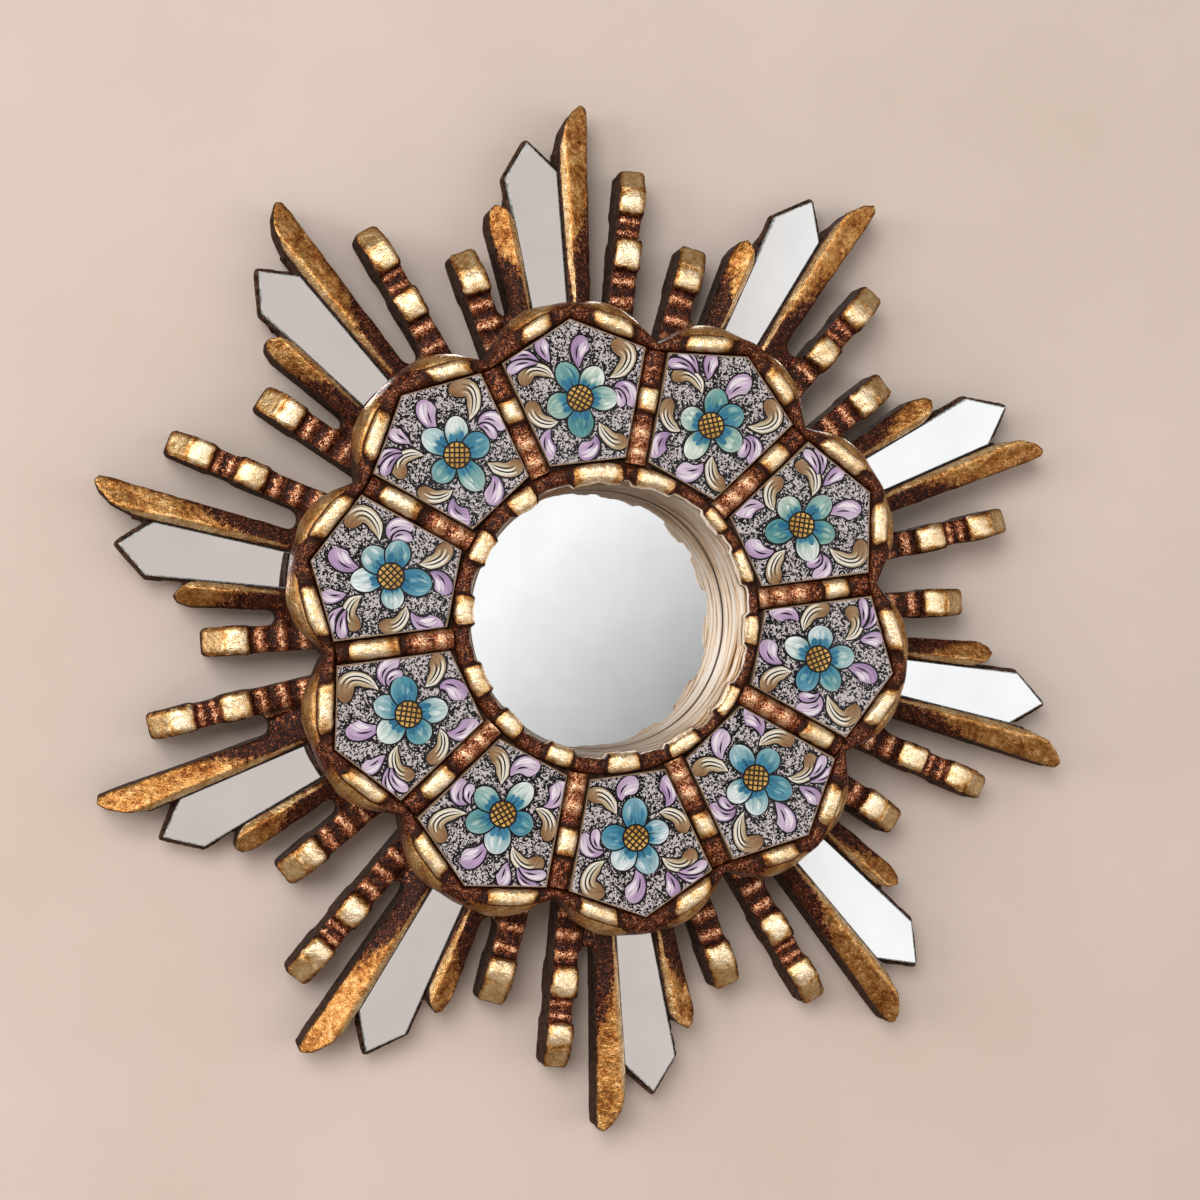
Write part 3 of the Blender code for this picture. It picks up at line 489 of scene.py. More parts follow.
def face_up(shape):
    """Turn each face of a flat sheet to the front."""
    for face in shape.faces:
        face.normal_update()
        if face.normal.z < 0:
            face.normal_flip()


def mesh_of(name, shape):
    """Named mesh of a finished shape."""
    mesh = bpy.data.meshes.new(name)
    shape.to_mesh(mesh)
    shape.free()
    return mesh


def fine_copy(node, cutter):
    """Face up copy of a CAD solid, less a cutter, in an even fine grain with its edges softened."""
    blank = mesh_of(node, merged_copy(node))
    holder = bpy.data.objects.new("blank", blank)
    bpy.context.scene.collection.objects.link(holder)
    cut = holder.modifiers.new("cut", "BOOLEAN")
    cut.operation = "DIFFERENCE"
    cut.solver = "EXACT"
    cut.object = cutter
    even = holder.modifiers.new("even", "REMESH")
    even.mode = "VOXEL"
    even.voxel_size = CARVE_GRAIN
    even.adaptivity = 0.0
    soft = holder.modifiers.new("soft", "SMOOTH")
    soft.factor = 0.5
    soft.iterations = 2
    graph = bpy.context.evaluated_depsgraph_get()
    mesh = bpy.data.meshes.new_from_object(holder.evaluated_get(graph))
    for spent in (blank, cutter.data):
        bpy.data.meshes.remove(spent)
    mesh.shade_smooth()
    return mesh


def read_vectors(items, key):
    """Array of one vector for each vertex."""
    values = np.zeros(len(items) * 3, np.float32)
    items.foreach_get(key, values)
    return values.reshape(-1, 3).astype(float)


def write_values(mesh, name, values):
    """Attribute with one number for each vertex."""
    layer = mesh.attributes.new(name, "FLOAT", "POINT")
    layer.data.foreach_set("value", np.asarray(values, np.float32))


def uneven(points, size):
    """Soft noise from -1 to 1 at each point, with bumps of a given size."""
    return np.array([noise.noise((x / size, y / size, z / size)) for x, y, z in points])


def tool_marks(points, wide, close):
    """Uneven heights left by the gouge, in metres, from the depths of its wide and of its close marks."""
    return wide * uneven(points, WIDE_MARK) + close * uneven(points, CLOSE_MARK)


class Unit:
    """Turns and reaches of the rays of one hand cut unit."""

    def __init__(self, index):
        blade, cane, cane_out, stub, stub_out = HAND_CUTS[index]
        lean = math.radians(blade)
        self.turn = FIRST_TURN + index * PITCH
        self.strip_left = self.turn + SHORT_BLADE_IN + lean
        self.strip_right = self.turn + LONG_BLADE_IN + lean
        self.blade_edge = self.turn + LONG_BLADE_EDGE + lean
        self.short_edge = self.turn + SHORT_BLADE_EDGE + lean
        self.cane_turn = self.turn + LONG_CANE_TURN + math.radians(cane)
        self.cane_end = LONG_CANE_R + cane_out * MM
        self.stub_turn = self.turn + SHORT_CANE_TURN + math.radians(stub)
        self.stub_end = SHORT_CANE_R + stub_out * MM
        self.strip_turn = (self.strip_left + self.strip_right) / 2
        self.strip_out = STRIP_REACHES[index] * MM
        self.fork = FORKS[index] * MM


def along_ray(points, turn):
    """Distances along a ray turned clockwise from straight up, and across it to the right."""
    x, y = points[:, 0], points[:, 1]
    return x * math.sin(turn) + y * math.cos(turn), x * math.cos(turn) - y * math.sin(turn)


def block_share(along, across, start, end, half):
    """0 in the middle of a block with rounded corners, and 1 at its edge."""
    length = (along - (start + end) / 2) / ((end - start) / 2)
    return (length ** 4 + (across / half) ** 4) ** 0.25


def on_ray(turn, along, across=0.0):
    """Spot at a distance along a ray turned clockwise from straight up, and to the right of it."""
    return Vector((along * math.sin(turn) + across * math.cos(turn),
                   along * math.cos(turn) - across * math.sin(turn)))


def drawn_out(points, unit, share):
    """Points moved outwards to the length that the mirror strip of a unit was cut to."""
    along = along_ray(points, unit.strip_turn)[0]
    reach = np.clip((along - STRIP_ROOT_R) / (STRIP_PEAK_R - STRIP_ROOT_R), 0.0, 1.05)
    further = reach * unit.strip_out * share
    moved = points.copy()
    moved[:, 0] += further * math.sin(unit.strip_turn)
    moved[:, 1] += further * math.cos(unit.strip_turn)
    return moved


def fork_cutter(unit):
    """Round ended slot between the long blade and the long cane, open outwards."""
    half = LONG_CANE_W / 2 - 0.0002
    open_end, roundness = 0.118, 0.0028
    below, height = -0.002, 0.03
    shape = bmesh.new()
    for vert in grid_verts(shape, 1, 12):
        out, share = (vert.co.x + 1) / 2, (vert.co.y + 1) / 2
        start = unit.fork + roundness * (1 - math.sqrt(max(0.0, 1 - vert.co.y ** 2)))
        along = start + out * (open_end - start)
        spot = on_ray(unit.blade_edge, along).lerp(on_ray(unit.cane_turn, along, -half), share)
        vert.co = (spot.x, spot.y, below)
    wall = bmesh.ops.extrude_face_region(shape, geom=shape.faces[:])["geom"]
    top = [item for item in wall if isinstance(item, bmesh.types.BMVert)]
    bmesh.ops.translate(shape, verts=top, vec=(0.0, 0.0, height))
    bmesh.ops.recalc_face_normals(shape, faces=shape.faces)
    holder = bpy.data.objects.new("fork", mesh_of("fork", shape))
    bpy.context.scene.collection.objects.link(holder)
    return holder


def carve_cane(points, turn, end, width, long_cane):
    """Where a cane lies, its leaf, its tone with painted highlight on the blocks and ribs, its wax, and how
    its front is rounded and ribbed.
    """
    along, across = along_ray(points, turn)
    half = width / 2
    on = (1 - smooth_step(half + 0.0004, half + 0.0012, np.abs(across))) * smooth_step(
        FLOWER_R - 0.012, FLOWER_R - 0.009, along)
    block = end - END_FACET_L - BLOCK_L
    upper = block - NECK_L
    lower = upper - LOW_BLOCK_L
    facet = block_share(along, across, block + BLOCK_L - 0.002, end + 0.0008, half * 0.97)
    leaf = 0.9 * (1 - smooth_step(0.90, 1.04, facet))
    # Painted highlight: the end facet's leaf is brighter in its middle
    tone = 0.68 * (1 - smooth_step(0.6, 1.05, facet))
    lift = 0.0011 * np.sin(np.pi * np.clip((along - block) / BLOCK_L, 0, 1))
    pillows = [(block, block + BLOCK_L + 0.0006)]
    root = block
    if long_cane:
        pillows.append((lower, upper))
        lift = lift + 0.0013 * np.sin(np.pi * np.clip((along - lower) / LOW_BLOCK_L, 0, 1))
        neck = np.clip((along - upper) / NECK_L, 0, 1)
        ridge = (1 - np.cos(2 * WHOLE_TURN * neck)) / 2
        lift = lift + 0.0005 * ridge
        # Painted highlight on the crests of the neck's two ridges
        tone = np.maximum(tone, 0.75 * ridge ** 2)
        root = lower
    worn = uneven(points, 0.0032)
    for start, stop in pillows:
        share = block_share(along, across, start, stop, half * 0.97) + 0.16 * worn
        leaf = np.maximum(leaf, 1.1 * (1 - smooth_step(0.90, 1.04, share)))
        # Painted highlight: each block's leaf is brightest in its middle and duller to its edges
        tone = np.where(share < 1.02, 1 - 0.75 * smooth_step(0.58, 1.02, share + 0.2 * worn), tone)
    ribs = (1 - np.cos(WHOLE_TURN * (root - along) / CANE_RIB)) / 2
    below = along < root
    lift = lift + np.where(below, 0.0008 * ribs, 0.0)
    # Painted highlight on the crests of the ribs below the blocks
    tone = np.where(below, 0.85 * ribs ** 2, tone)
    wax = np.where(below, 0.6 * (1 - ribs) ** 2, 0.0)
    wax = np.maximum(wax, 0.8 * smooth_step(0.72, 0.95, np.abs(across) / half) * (1 - np.clip(leaf, 0, 1)))
    lift = lift - 0.0014 * smooth_step(0.40, 1.12, np.abs(across) / half) ** 2
    return on, leaf, tone, wax, lift


def carve_blade(points, inner_turn, outer_turn, sign, gold_from, gold_full):
    """Where a blade lies, with its leaf and tone: a painted highlight along the bevel beside the mirror,
    bronze to the tip, and bole at the root and along the outer edge."""
    along, across = along_ray(points, inner_turn)
    away = sign * across
    width = np.maximum(along, 0.01) * abs(math.tan(outer_turn - inner_turn))
    on = band(away, -0.0006, width + 0.0008, 0.0003)
    reach = (along - gold_from) / (gold_full - gold_from)
    leaf = 0.95 * smooth_step(0.0, 1.0, reach - 0.55 * away / width + 0.2)
    # Painted highlight: the leaf is a little brighter towards the bevel
    tone = leaf * (0.25 + 0.14 * smooth_step(0.6, 0.1, away / width))
    inner_edge = 0.0007 - 0.0011 * smooth_step(FLOWER_R, FLOWER_R + 0.030, along)
    bevel = (1 - smooth_step(RIDGE_IN - 0.0007, RIDGE_IN, away)) * smooth_step(
        inner_edge, inner_edge + 0.0004, away) * smooth_step(FLOWER_R - 0.002, FLOWER_R + 0.006, along)
    leaf = np.maximum(leaf, bevel)
    # and brightest on the bevel itself
    tone = np.maximum(tone, 0.7 * bevel)
    return on, leaf, tone


def follow_glass(points, unit):
    """Points of a segment with its bed drawn out along the glass, and undercut where it stands free."""
    free_from = 0.143
    left = along_ray(points, unit.strip_left)[1]
    right = along_ray(points, unit.strip_right)[1]
    between = smooth_step(-0.0018, -0.0010, left) * (1 - smooth_step(-0.0022, -0.0008, right))
    bed_share = between * (points[:, 2] < BED_T + 0.0012)
    points = drawn_out(points, unit, bed_share)
    along = along_ray(points, unit.strip_turn)[0]
    free_end = bed_share * smooth_step(free_from - 0.002, free_from + 0.004, along)
    undercut = 0.22 * free_end * np.clip(1 - points[:, 2] / BED_T, 0.0, 1.0)
    pivot = np.array(on_ray(unit.strip_turn, free_from))
    points[:, :2] += (pivot - points[:, :2]) * undercut[:, None]
    return points


def ray_finish(points, unit):
    """Leaf, tone with its painted highlight, and wax of the blades and canes of a unit, and how far their
    fronts are raised.
    """
    leaf, tone, wax, lift = np.zeros((4, len(points)))
    for inner, outer, sign, start, full in (
            (unit.strip_right, unit.blade_edge, 1, FLOWER_R + 0.002, FLOWER_R + 0.040),
            (unit.strip_left, unit.short_edge, -1, FLOWER_R + 0.002, FLOWER_R + 0.028)):
        on, gold, shine = carve_blade(points, inner, outer, sign, start, full)
        leaf = np.maximum(leaf, on * gold)
        tone = np.maximum(tone, on * shine)
        wax = np.maximum(wax, 0.5 * on * (1 - smooth_step(0.15, 0.6, gold)))
    for turn, end, width, long_cane in ((unit.cane_turn, unit.cane_end, LONG_CANE_W, True),
                                        (unit.stub_turn, unit.stub_end, SHORT_CANE_W, False)):
        on, gold, shine, grooves, rise = carve_cane(points, turn, end, width, long_cane)
        leaf = leaf * (1 - on) + on * gold
        tone = tone * (1 - on) + on * shine
        wax = wax * (1 - on) + on * np.clip(grooves, 0, 1)
        lift = lift + on * rise
    return leaf, tone, wax, lift


def gouge_marks(points, normals, unit, front, free):
    """Heights of the marks of the gouge: shallow beside the glass, with a lip of the bed round its end."""
    marks = tool_marks(points, *RAY_MARKS) * free
    left = along_ray(points, unit.strip_left)[1]
    right = along_ray(points, unit.strip_right)[1]
    beside_glass = np.zeros(len(points))
    for away in (right, -left):
        beside_glass = np.maximum(beside_glass, band(away, -0.02, 0.0008, 0.0004) * (1 - front))
    marks = marks * (1 - 0.8 * np.clip(beside_glass, 0, 1))
    radius = np.hypot(points[:, 0], points[:, 1])
    lip = (right < 0.0004) & (left > -0.0004) & (radius > FLOWER_R + 0.006)
    lip = lip & (points[:, 2] < BED_T + 0.0006)
    return marks + np.where(lip, 0.0008 * (1 - np.abs(normals[:, 2])) * free, 0.0)


def carve_segment(index, finish):
    """One ray segment in its carved, gilded and waxed form."""
    unit = Unit(index)
    node = numbered("ray_segment", index)
    mesh = fine_copy(node, fork_cutter(unit))
    points = follow_glass(read_vectors(mesh.vertices, "co"), unit)
    normals = read_vectors(mesh.vertex_normals, "vector")
    front = smooth_step(0.30, 0.62, normals[:, 2])
    radius = np.hypot(points[:, 0], points[:, 1])
    leaf, tone, wax, lift = ray_finish(points, unit)
    # The carving stays clear of the frame in front, the wall behind and the glass in its bed
    free = smooth_step(0.0, 0.003, points[:, 2]) * smooth_step(FLOWER_R - 0.009, FLOWER_R - 0.003, radius)
    points[:, 2] += lift * front * free
    points += normals * gouge_marks(points, normals, unit, front, free)[:, None]
    # The inner ends make room for the well where it was cut wider
    inner_end = 1 - smooth_step(HOLE_R + 0.002, HOLE_R + 0.007, radius)
    wider = smooth_step(*WIDER_FROM, points[:, 0] / radius) * inner_end
    points[:, :2] *= (1 + 1.1 * WELL_WIDER * wider / radius)[:, None]
    mesh.vertices.foreach_set("co", points.astype(np.float32).ravel())
    bed = smooth_step(BED_T + 0.0042, BED_T + 0.0030, points[:, 2])
    write_values(mesh, "leaf", leaf * front * (1 - bed))
    write_values(mesh, "tone", tone)
    write_values(mesh, "wax", wax * front)
    write_values(mesh, "side", np.maximum(1 - smooth_step(0.22, 0.50, normals[:, 2]), bed))
    write_values(mesh, "bare", smooth_step(0.6, 0.85, -normals[:, 2]))
    length, breadth = along_ray(points, unit.turn)
    board = mesh.attributes.new("board", "FLOAT_VECTOR", "POINT")
    spots = np.stack((breadth + index, length, points[:, 2]), 1)
    board.data.foreach_set("vector", spots.astype(np.float32).ravel())
    mesh.update()
    show_piece(numbered("carved_rays", index), mesh, [finish], "carved_wood", node)


def ring_piece(name, around, across, place, finishes, slot, node):
    """Closed ring from a grid that is bent round the axis; place gives each point and its finish."""
    shape = bmesh.new()
    layers = {key: shape.verts.layers.float.new(key) for key in FINISH_KEYS}
    uv = shape.loops.layers.uv.new("round")
    flat = {}
    for vert in grid_verts(shape, around, across):
        turn = FIRST_TURN + (vert.co.x + 1) * math.pi
        step = round((vert.co.y + 1) / 2 * across) % across
        radius, level, values = place(turn, step)
        vert.co = (*on_ray(turn, radius), level)
        flat[vert] = (turn * LINER_R, level)
        for key, value in values.items():
            vert[layers[key]] = value
    write_flat(shape.faces, uv, flat)
    finish_carving(name, shape, finishes, slot, node)


def finish_carving(name, shape, finishes, slot, node):
    """Close a bent grid, give it the marks of the gouge where its finish shows, and show it. Its bare faces
    have the second finish."""
    bmesh.ops.remove_doubles(shape, verts=shape.verts, dist=MERGE)
    bmesh.ops.recalc_face_normals(shape, faces=shape.faces)
    shape.normal_update()
    side = shape.verts.layers.float["side"]
    marks = tool_marks([vert.co for vert in shape.verts], *FRAME_MARKS)
    moves = []
    for vert, mark in zip(shape.verts, marks):
        moves.append(vert.normal * (0.0 if vert[side] == UNMARKED else mark))
    bare = shape.verts.layers.float["bare"]
    for face in shape.faces:
        face.material_index = 1 if max(vert[bare] for vert in face.verts) > 0.02 else 0
    for vert, move in zip(shape.verts, moves):
        vert.co += move
        vert[side] = min(vert[side], 1.0)
    mesh = mesh_of(name, shape)
    mesh.shade_smooth()
    show_piece(name, mesh, finishes, slot, node)


def step_at(low, high, value):
    """Smooth step of one number."""
    return float(smooth_step(low, high, value))


def crown(share, outer, inner, feet, top, squareness):
    """Point on a rounded crown between two radii, from its outer foot at 0 to its inner foot at 1."""
    turn = share * math.pi
    middle, half = (outer + inner) / 2, (outer - inner) / 2
    cosine, sine = math.cos(turn), max(math.sin(turn), 0.0)
    low = feet[0] if share < 0.5 else feet[1]
    return (middle + half * math.copysign(abs(cosine) ** squareness, cosine),
            low + (top - low) * sine ** squareness)


def raised(angle, blocks, soft):
    """1 on the blocks, given as middle and half length, and 0 in the dips between."""
    return max(float(band(angle, middle - half, middle + half, soft)) for middle, half in blocks)


def gilding(angle, share, blocks, middle_share, reach, wear, dull):
    """Finish of blocks with rounded corners on a crown: leaf with a painted highlight over its middle, worn
    and duller to its edges, and wax beyond them. Wear says how close the worn patches lie, and dull is the
    wax between the blocks."""
    spread = min((((angle - middle) / half) ** 4 + ((share - middle_share) / reach) ** 4) ** 0.25
                 for middle, half in blocks)
    worn = noise.noise((angle * wear, share * 3.0, blocks[0][0] * 90))
    spread += 0.16 * worn
    leaf = 1.1 * (1 - step_at(0.88, 1.02, spread))
    # Painted highlight: the leaf is brightest in the middle of each block and duller to its edges
    tone = 0.25 * step_at(1.1, 1.6, spread)
    if spread < 1.0:
        tone = 1 - 0.75 * step_at(0.50, 1.02, spread + 0.2 * worn)
    edge_line = 0.8 * step_at(0.92, 1.02, spread) * (1 - step_at(1.15, 1.5, spread))
    wax = max(edge_line, dull * step_at(0.95, 1.1, spread))
    return {"leaf": leaf, "tone": tone, "wax": wax}


def right_lean(turn):
    """1 where the well was cut wider, to the right, and 0 over the rest of its round."""
    return step_at(*WIDER_FROM, math.sin(turn))


def add_flower_border(finish):
    """Scalloped frame round the tiles: two gilded blocks on each scallop, waxed dips between, and a dark
    roll that bulges out below them, with a lens of streaked bronze under each block."""
    wall, flank, top, floor, bore, under = 5, 16, 18, 5, 3, 5
    ends = np.cumsum((wall, flank, top, floor, bore)).tolist()
    wall_top, ledge_z, dip_top = 0.0280, 0.0396, 0.0404
    ledge_w, block_h = 0.0058, 0.0023
    blocks = np.radians(BORDER_BLOCKS).tolist()

    def place(turn, step):
        number = int((turn - FIRST_TURN + HALF) // PITCH) % UNITS
        angle = unit_turn(turn - FIRST_TURN)
        outer = lobe_radius(angle)
        inner = tile_radius(angle)
        notch = step_at(math.radians(13.0), math.radians(17.5), abs(angle))
        swell = outer + 0.0010 * (1 - notch) + 0.0012 * float(band(abs(angle), 0.09, 0.22, 0.05))
        ledge = inner + min(ledge_w, 0.60 * (swell - inner))
        bore_r = HOLE_R + BORE_CLEAR + WELL_WIDER * right_lean(turn)
        if step < ends[0]:
            return outer, FRAME_Z + step / wall * (wall_top - FRAME_Z), {"side": 1.0}
        if step < ends[1]:
            share = (step - ends[0]) / flank
            rise = (share * 1.25 - 0.25) * math.pi / 2
            radius = ledge + (swell - ledge) * math.cos(rise)
            level = ledge_z - (ledge_z - wall_top) * 0.80 * (1 - math.sin(rise))
            if share < 0.2:
                radius = outer + (radius - outer) * share / 0.2
            streak = noise.noise((turn * 9, share * 11, 3.0))
            streak += 0.6 * noise.noise((turn * 30, share * 24, 7.0))
            lens = max(1 - ((angle - middle) / (1.5 * half)) ** 2 for middle, half in blocks[number])
            lens -= ((share - 0.64) / 0.52) ** 2
            gold = step_at(-0.15, 0.35, lens + 0.2 * streak)
            # Bronze on the lens, brighter towards its middle as painted highlight
            tone = 0.15 + 0.35 * step_at(0.0, 0.9, lens)
            wax = max(0.7 * step_at(0.06, 0.5, streak), 0.6 * step_at(0.88, 0.97, share), 0.6 * notch)
            side = max(0.9 * step_at(0.40, 0.18, share), 0.9 * notch * step_at(0.75, 0.35, share))
            return radius, level, {"leaf": gold, "tone": tone, "wax": wax, "side": side}
        if step < ends[2]:
            share = (step - ends[1]) / (top - 1)
            block = raised(angle, blocks[number], math.radians(0.5))
            dome = min(((angle - middle) / half) ** 2 for middle, half in blocks[number])
            level_top = dip_top + block_h * block * (1 - 0.4 * min(dome, 1.0)) - 0.0003 * notch
            radius, level = crown(share, ledge, inner, (ledge_z, SEAT_Z), level_top, 0.80 - 0.14 * block)
            return radius, level, gilding(angle, share, blocks[number], 0.46, 0.40, BORDER_WEAR, 0.42)
        if step < ends[3]:
            share = (step - ends[2] + 1) / floor
            return inner + share * (bore_r - inner), SEAT_Z, HIDDEN
        if step < ends[4]:
            share = (step - ends[3] + 1) / bore
            return bore_r, SEAT_Z + share * (FRAME_Z - SEAT_Z), HIDDEN
        share = (step - ends[4] + 1) / (under + 1)
        return bore_r + share * (outer - bore_r), FRAME_Z, HIDDEN

    across = ends[4] + under
    ring_piece("scalloped_border", UNITS * 96, across, place, [finish], "carved_wood", "flower_frame")


def rim_edge(turn):
    """Angle from the nearest block of the rim, half the block's length, how far the rim is raised there,
    and the radius of its inner edge, which bulges at the blocks and is torn between them."""
    middle, half = min(np.radians(RIM_BLOCKS).tolist(),
                       key=lambda block: abs(math.remainder(turn - block[0], WHOLE_TURN)))
    angle = math.remainder(turn - middle, WHOLE_TURN)
    block = raised(angle, [(0.0, half + math.radians(1.0))], math.radians(1.0))
    spot = Vector((math.sin(turn), math.cos(turn), 0.0))
    wave = 1.3 * noise.noise(spot * 8) + 0.25 * noise.noise(spot * 31)
    inner = RIM_IN + RIM_DIP * (1 - block) + WELL_WIDER * right_lean(turn) + RIM_WAVE * wave
    return angle, half, block, inner


def add_rim(finish, raw_finish):
    """Rim of the well: gilded blocks that bulge into the well, dark dips between, and raw wood inside."""
    around, top, under = 924, 28, 6

    def place(turn, step):
        angle, half, block, inner = rim_edge(turn)
        if step < top:
            share = step / (top - 1)
            height = RIM_H * (0.74 + 0.26 * block * (1 - 0.4 * min((angle / half) ** 2, 1.0)))
            radius, level = crown(share, RIM_OUT, inner, (FIXED_Z, FIXED_Z), FIXED_Z + height,
                                  0.72 - 0.08 * block)
            values = gilding(angle, share, [(0.0, half)], 0.58, 0.42, RIM_WEAR, 0.42)
            torn = 0.8 * noise.noise((turn * 11, 2.0, 0.0)) + 0.2 * noise.noise((turn * 45, 5.0, 0.0))
            edge = 0.92 - 0.05 * right_lean(turn) + 0.12 * torn
            values["bare"] = step_at(edge - 0.03, edge + 0.03, share)
            return radius, level, values
        share = (step - top + 1) / (under + 1)
        return inner + share * (RIM_OUT - inner), FIXED_Z, HIDDEN

    ring_piece("well_rim", around, top + under, place, [finish, raw_finish], "gilt_wood", "rim_bead")


def add_bars(finish):
    """Bars between the tiles: a ribbed foot of flecked bole, a dip, a gilded block and a dark outer end."""
    dice = random.Random(11)
    long_steps, top, under = 90, 16, 4
    around = top + under
    start = RIM_OUT + GAP
    end = tile_radius(HALF) - GAP
    for index in range(UNITS):
        gold_low, gold_high = [end_mm * MM for end_mm in BAR_BLOCKS[index]]
        dip = gold_low - dice.uniform(0.0030, 0.0045)
        middle, half = (gold_low + gold_high) / 2, (gold_high - gold_low) / 2
        turn = FIRST_TURN + index * PITCH + HALF
        shape = bmesh.new()
        layers = {key: shape.verts.layers.float.new(key) for key in FINISH_KEYS}
        for vert in grid_verts(shape, long_steps, around):
            along = start + (vert.co.x + 1) / 2 * (end - start)
            step = round((vert.co.y + 1) / 2 * around) % around
            block = raised(along, [(middle, half)], 0.0005)
            foot = 1 - step_at(dip - 0.0005, dip + 0.0005, along)
            ribs = foot * (1 - math.cos(WHOLE_TURN * (dip - along) / BAR_RIB)) / 2
            outer_end = step_at(gold_high, end, along)
            if step < top:
                share = step / (top - 1)
                dome = 1 - 0.35 * min(((along - middle) / half) ** 2, 1.0)
                height = BAR_H * (0.68 + 0.33 * block * dome)
                height += foot * 0.0003 + 0.0008 * ribs - 0.0005 * outer_end
                reach, level = crown(share, BAR_W / 2, -BAR_W / 2, (FIXED_Z, FIXED_Z), FIXED_Z + height,
                                     0.84 - 0.14 * block)
                values = gilding(along, share, [(middle, half)], 0.5, 0.37, BAR_WEAR, 0.0)
                edge = step_at(0.20, 0.10, min(share, 1 - share))
                # Brighter flecked bole on the foot, with painted highlight on the crests of its ribs
                values["tone"] = max(values["tone"] * (1 - foot), 0.55 * foot + 0.6 * ribs ** 2,
                                     0.1 * outer_end)
                values["wax"] = max(values["wax"] * (1 - foot), 0.35 * foot * (1 - ribs) ** 2,
                                    0.5 * edge, 0.4 * outer_end)
            else:
                reach, level = BAR_W * ((step - top + 1) / (under + 1) - 0.5), FIXED_Z
                values = HIDDEN
            vert.co = (*on_ray(turn, along, reach), level)
            for key, value in values.items():
                vert[layers[key]] = value
        bmesh.ops.remove_doubles(shape, verts=shape.verts, dist=MERGE)
        bmesh.ops.holes_fill(shape, edges=[edge for edge in shape.edges if edge.is_boundary], sides=0)
        finish_carving(numbered("carved_bar", index), shape, [finish], "gilt_wood",
                       numbered("divider_bar", index))


def add_well_liner(finish):
    """Wall of the well: raw pale wood bent into a ring, a little uneven, with a dark joint at its foot and
    painted shade over it except where it is lit, to the right. Its upper edge follows the rim's torn edge."""
    around, inside, outside = 288, 30, 6
    across = inside + outside
    shape = bmesh.new()
    uv = shape.loops.layers.uv.new("round")
    joint_and_shade = shape.verts.layers.float.new("joint_and_shade")
    flat = {}
    for vert in grid_verts(shape, around, across):
        turn = (vert.co.x + 1) * math.pi
        step = round((vert.co.y + 1) / 2 * across) % across
        radius = LINER_R + WELL_WIDER * right_lean(turn)
        if step <= inside:
            share = step / inside
            level = LINER_LOW + share * (LINER_HIGH - LINER_LOW)
            radius += 0.0003 * math.sin(share * math.pi) * noise.noise((turn * 3, share * 3, 0.0))
            radius += (rim_edge(turn)[3] - 0.0001 - radius) * step_at(0.72, 1.0, share)
            # Painted shade on the wall, lightest about its lit turn to the right, over the dark joint at
            # its foot
            bright = math.exp(-(math.remainder(turn - WELL_LIT, WHOLE_TURN) / WELL_LIT_REACH) ** 2)
            vert[joint_and_shade] = max(1 - step_at(0.6, 2.0, step), 0.66 * (1 - bright))
        else:
            share = (step - inside) / outside
            radius += LINER_T + 0.0010 * step_at(0.45, 0.0, share)
            level = LINER_HIGH + share * (LINER_LOW - SEAT_Z)
        flat[vert] = (turn * LINER_R, level)
        vert.co = (*on_ray(turn, radius), level)
    write_flat(shape.faces, uv, flat)
    bmesh.ops.remove_doubles(shape, verts=shape.verts, dist=MERGE)
    bmesh.ops.recalc_face_normals(shape, faces=shape.faces)
    for edge in shape.edges:
        edge.smooth = edge.calc_face_angle(0.0) < math.radians(40)
    mesh = mesh_of("well_wall", shape)
    for face in mesh.polygons:
        face.use_smooth = True
    show_piece("well_wall", mesh, [finish], "gilt_wood", "well_liner")


def whole_plate(node):
    """Face up copy of a flat CAD plate with whole faces."""
    shape = merged_copy(node)
    bmesh.ops.dissolve_limit(shape, angle_limit=math.radians(0.5), verts=shape.verts, edges=shape.edges)
    return shape


def add_ray_mirror(index, glass, edge_finish):
    """Mirror strip, cut to its own length, with a narrow ground bevel along its front edges."""
    name, node = numbered("mirror_strip", index), numbered("ray_mirror", index)
    unit = Unit(index)
    shape = whole_plate(node)
    corners = drawn_out(np.array([vert.co for vert in shape.verts]), unit, 1.0)
    across = along_ray(corners, unit.strip_turn)[1]
    for vert, corner, reach in zip(shape.verts, corners, across):
        side = on_ray(unit.strip_turn, 0.0, STRIP_WIDER * reach)
        vert.co = (corner[0] + side.x, corner[1] + side.y, corner[2])
    top = max(vert.co.z for vert in shape.verts)
    for face in shape.faces:
        face.material_index = 0 if face.normal.z > 0.9 else 1
    rim = [edge for edge in shape.edges if all(vert.co.z > top - MERGE for vert in edge.verts)]
    ground = bmesh.ops.bevel(shape, geom=rim, offset=STRIP_BEVEL, segments=1, profile=0.5, affect="EDGES",
                             material=-1)
    for face in ground["faces"]:
        face.material_index = 1
    show_piece(name, mesh_of(name, shape), [glass, edge_finish], "silvered_glass", node)


def bezier(points, share):
    """Point at a share of the way along a smooth curve, from its control points."""
    line = list(points)
    while len(line) > 1:
        line = [a + (b - a) * share for a, b in zip(line, line[1:])]
    return line[0]


# Distance of the painted flower's middle from that of the mirror, in metres
FLOWER_AT = 0.0720
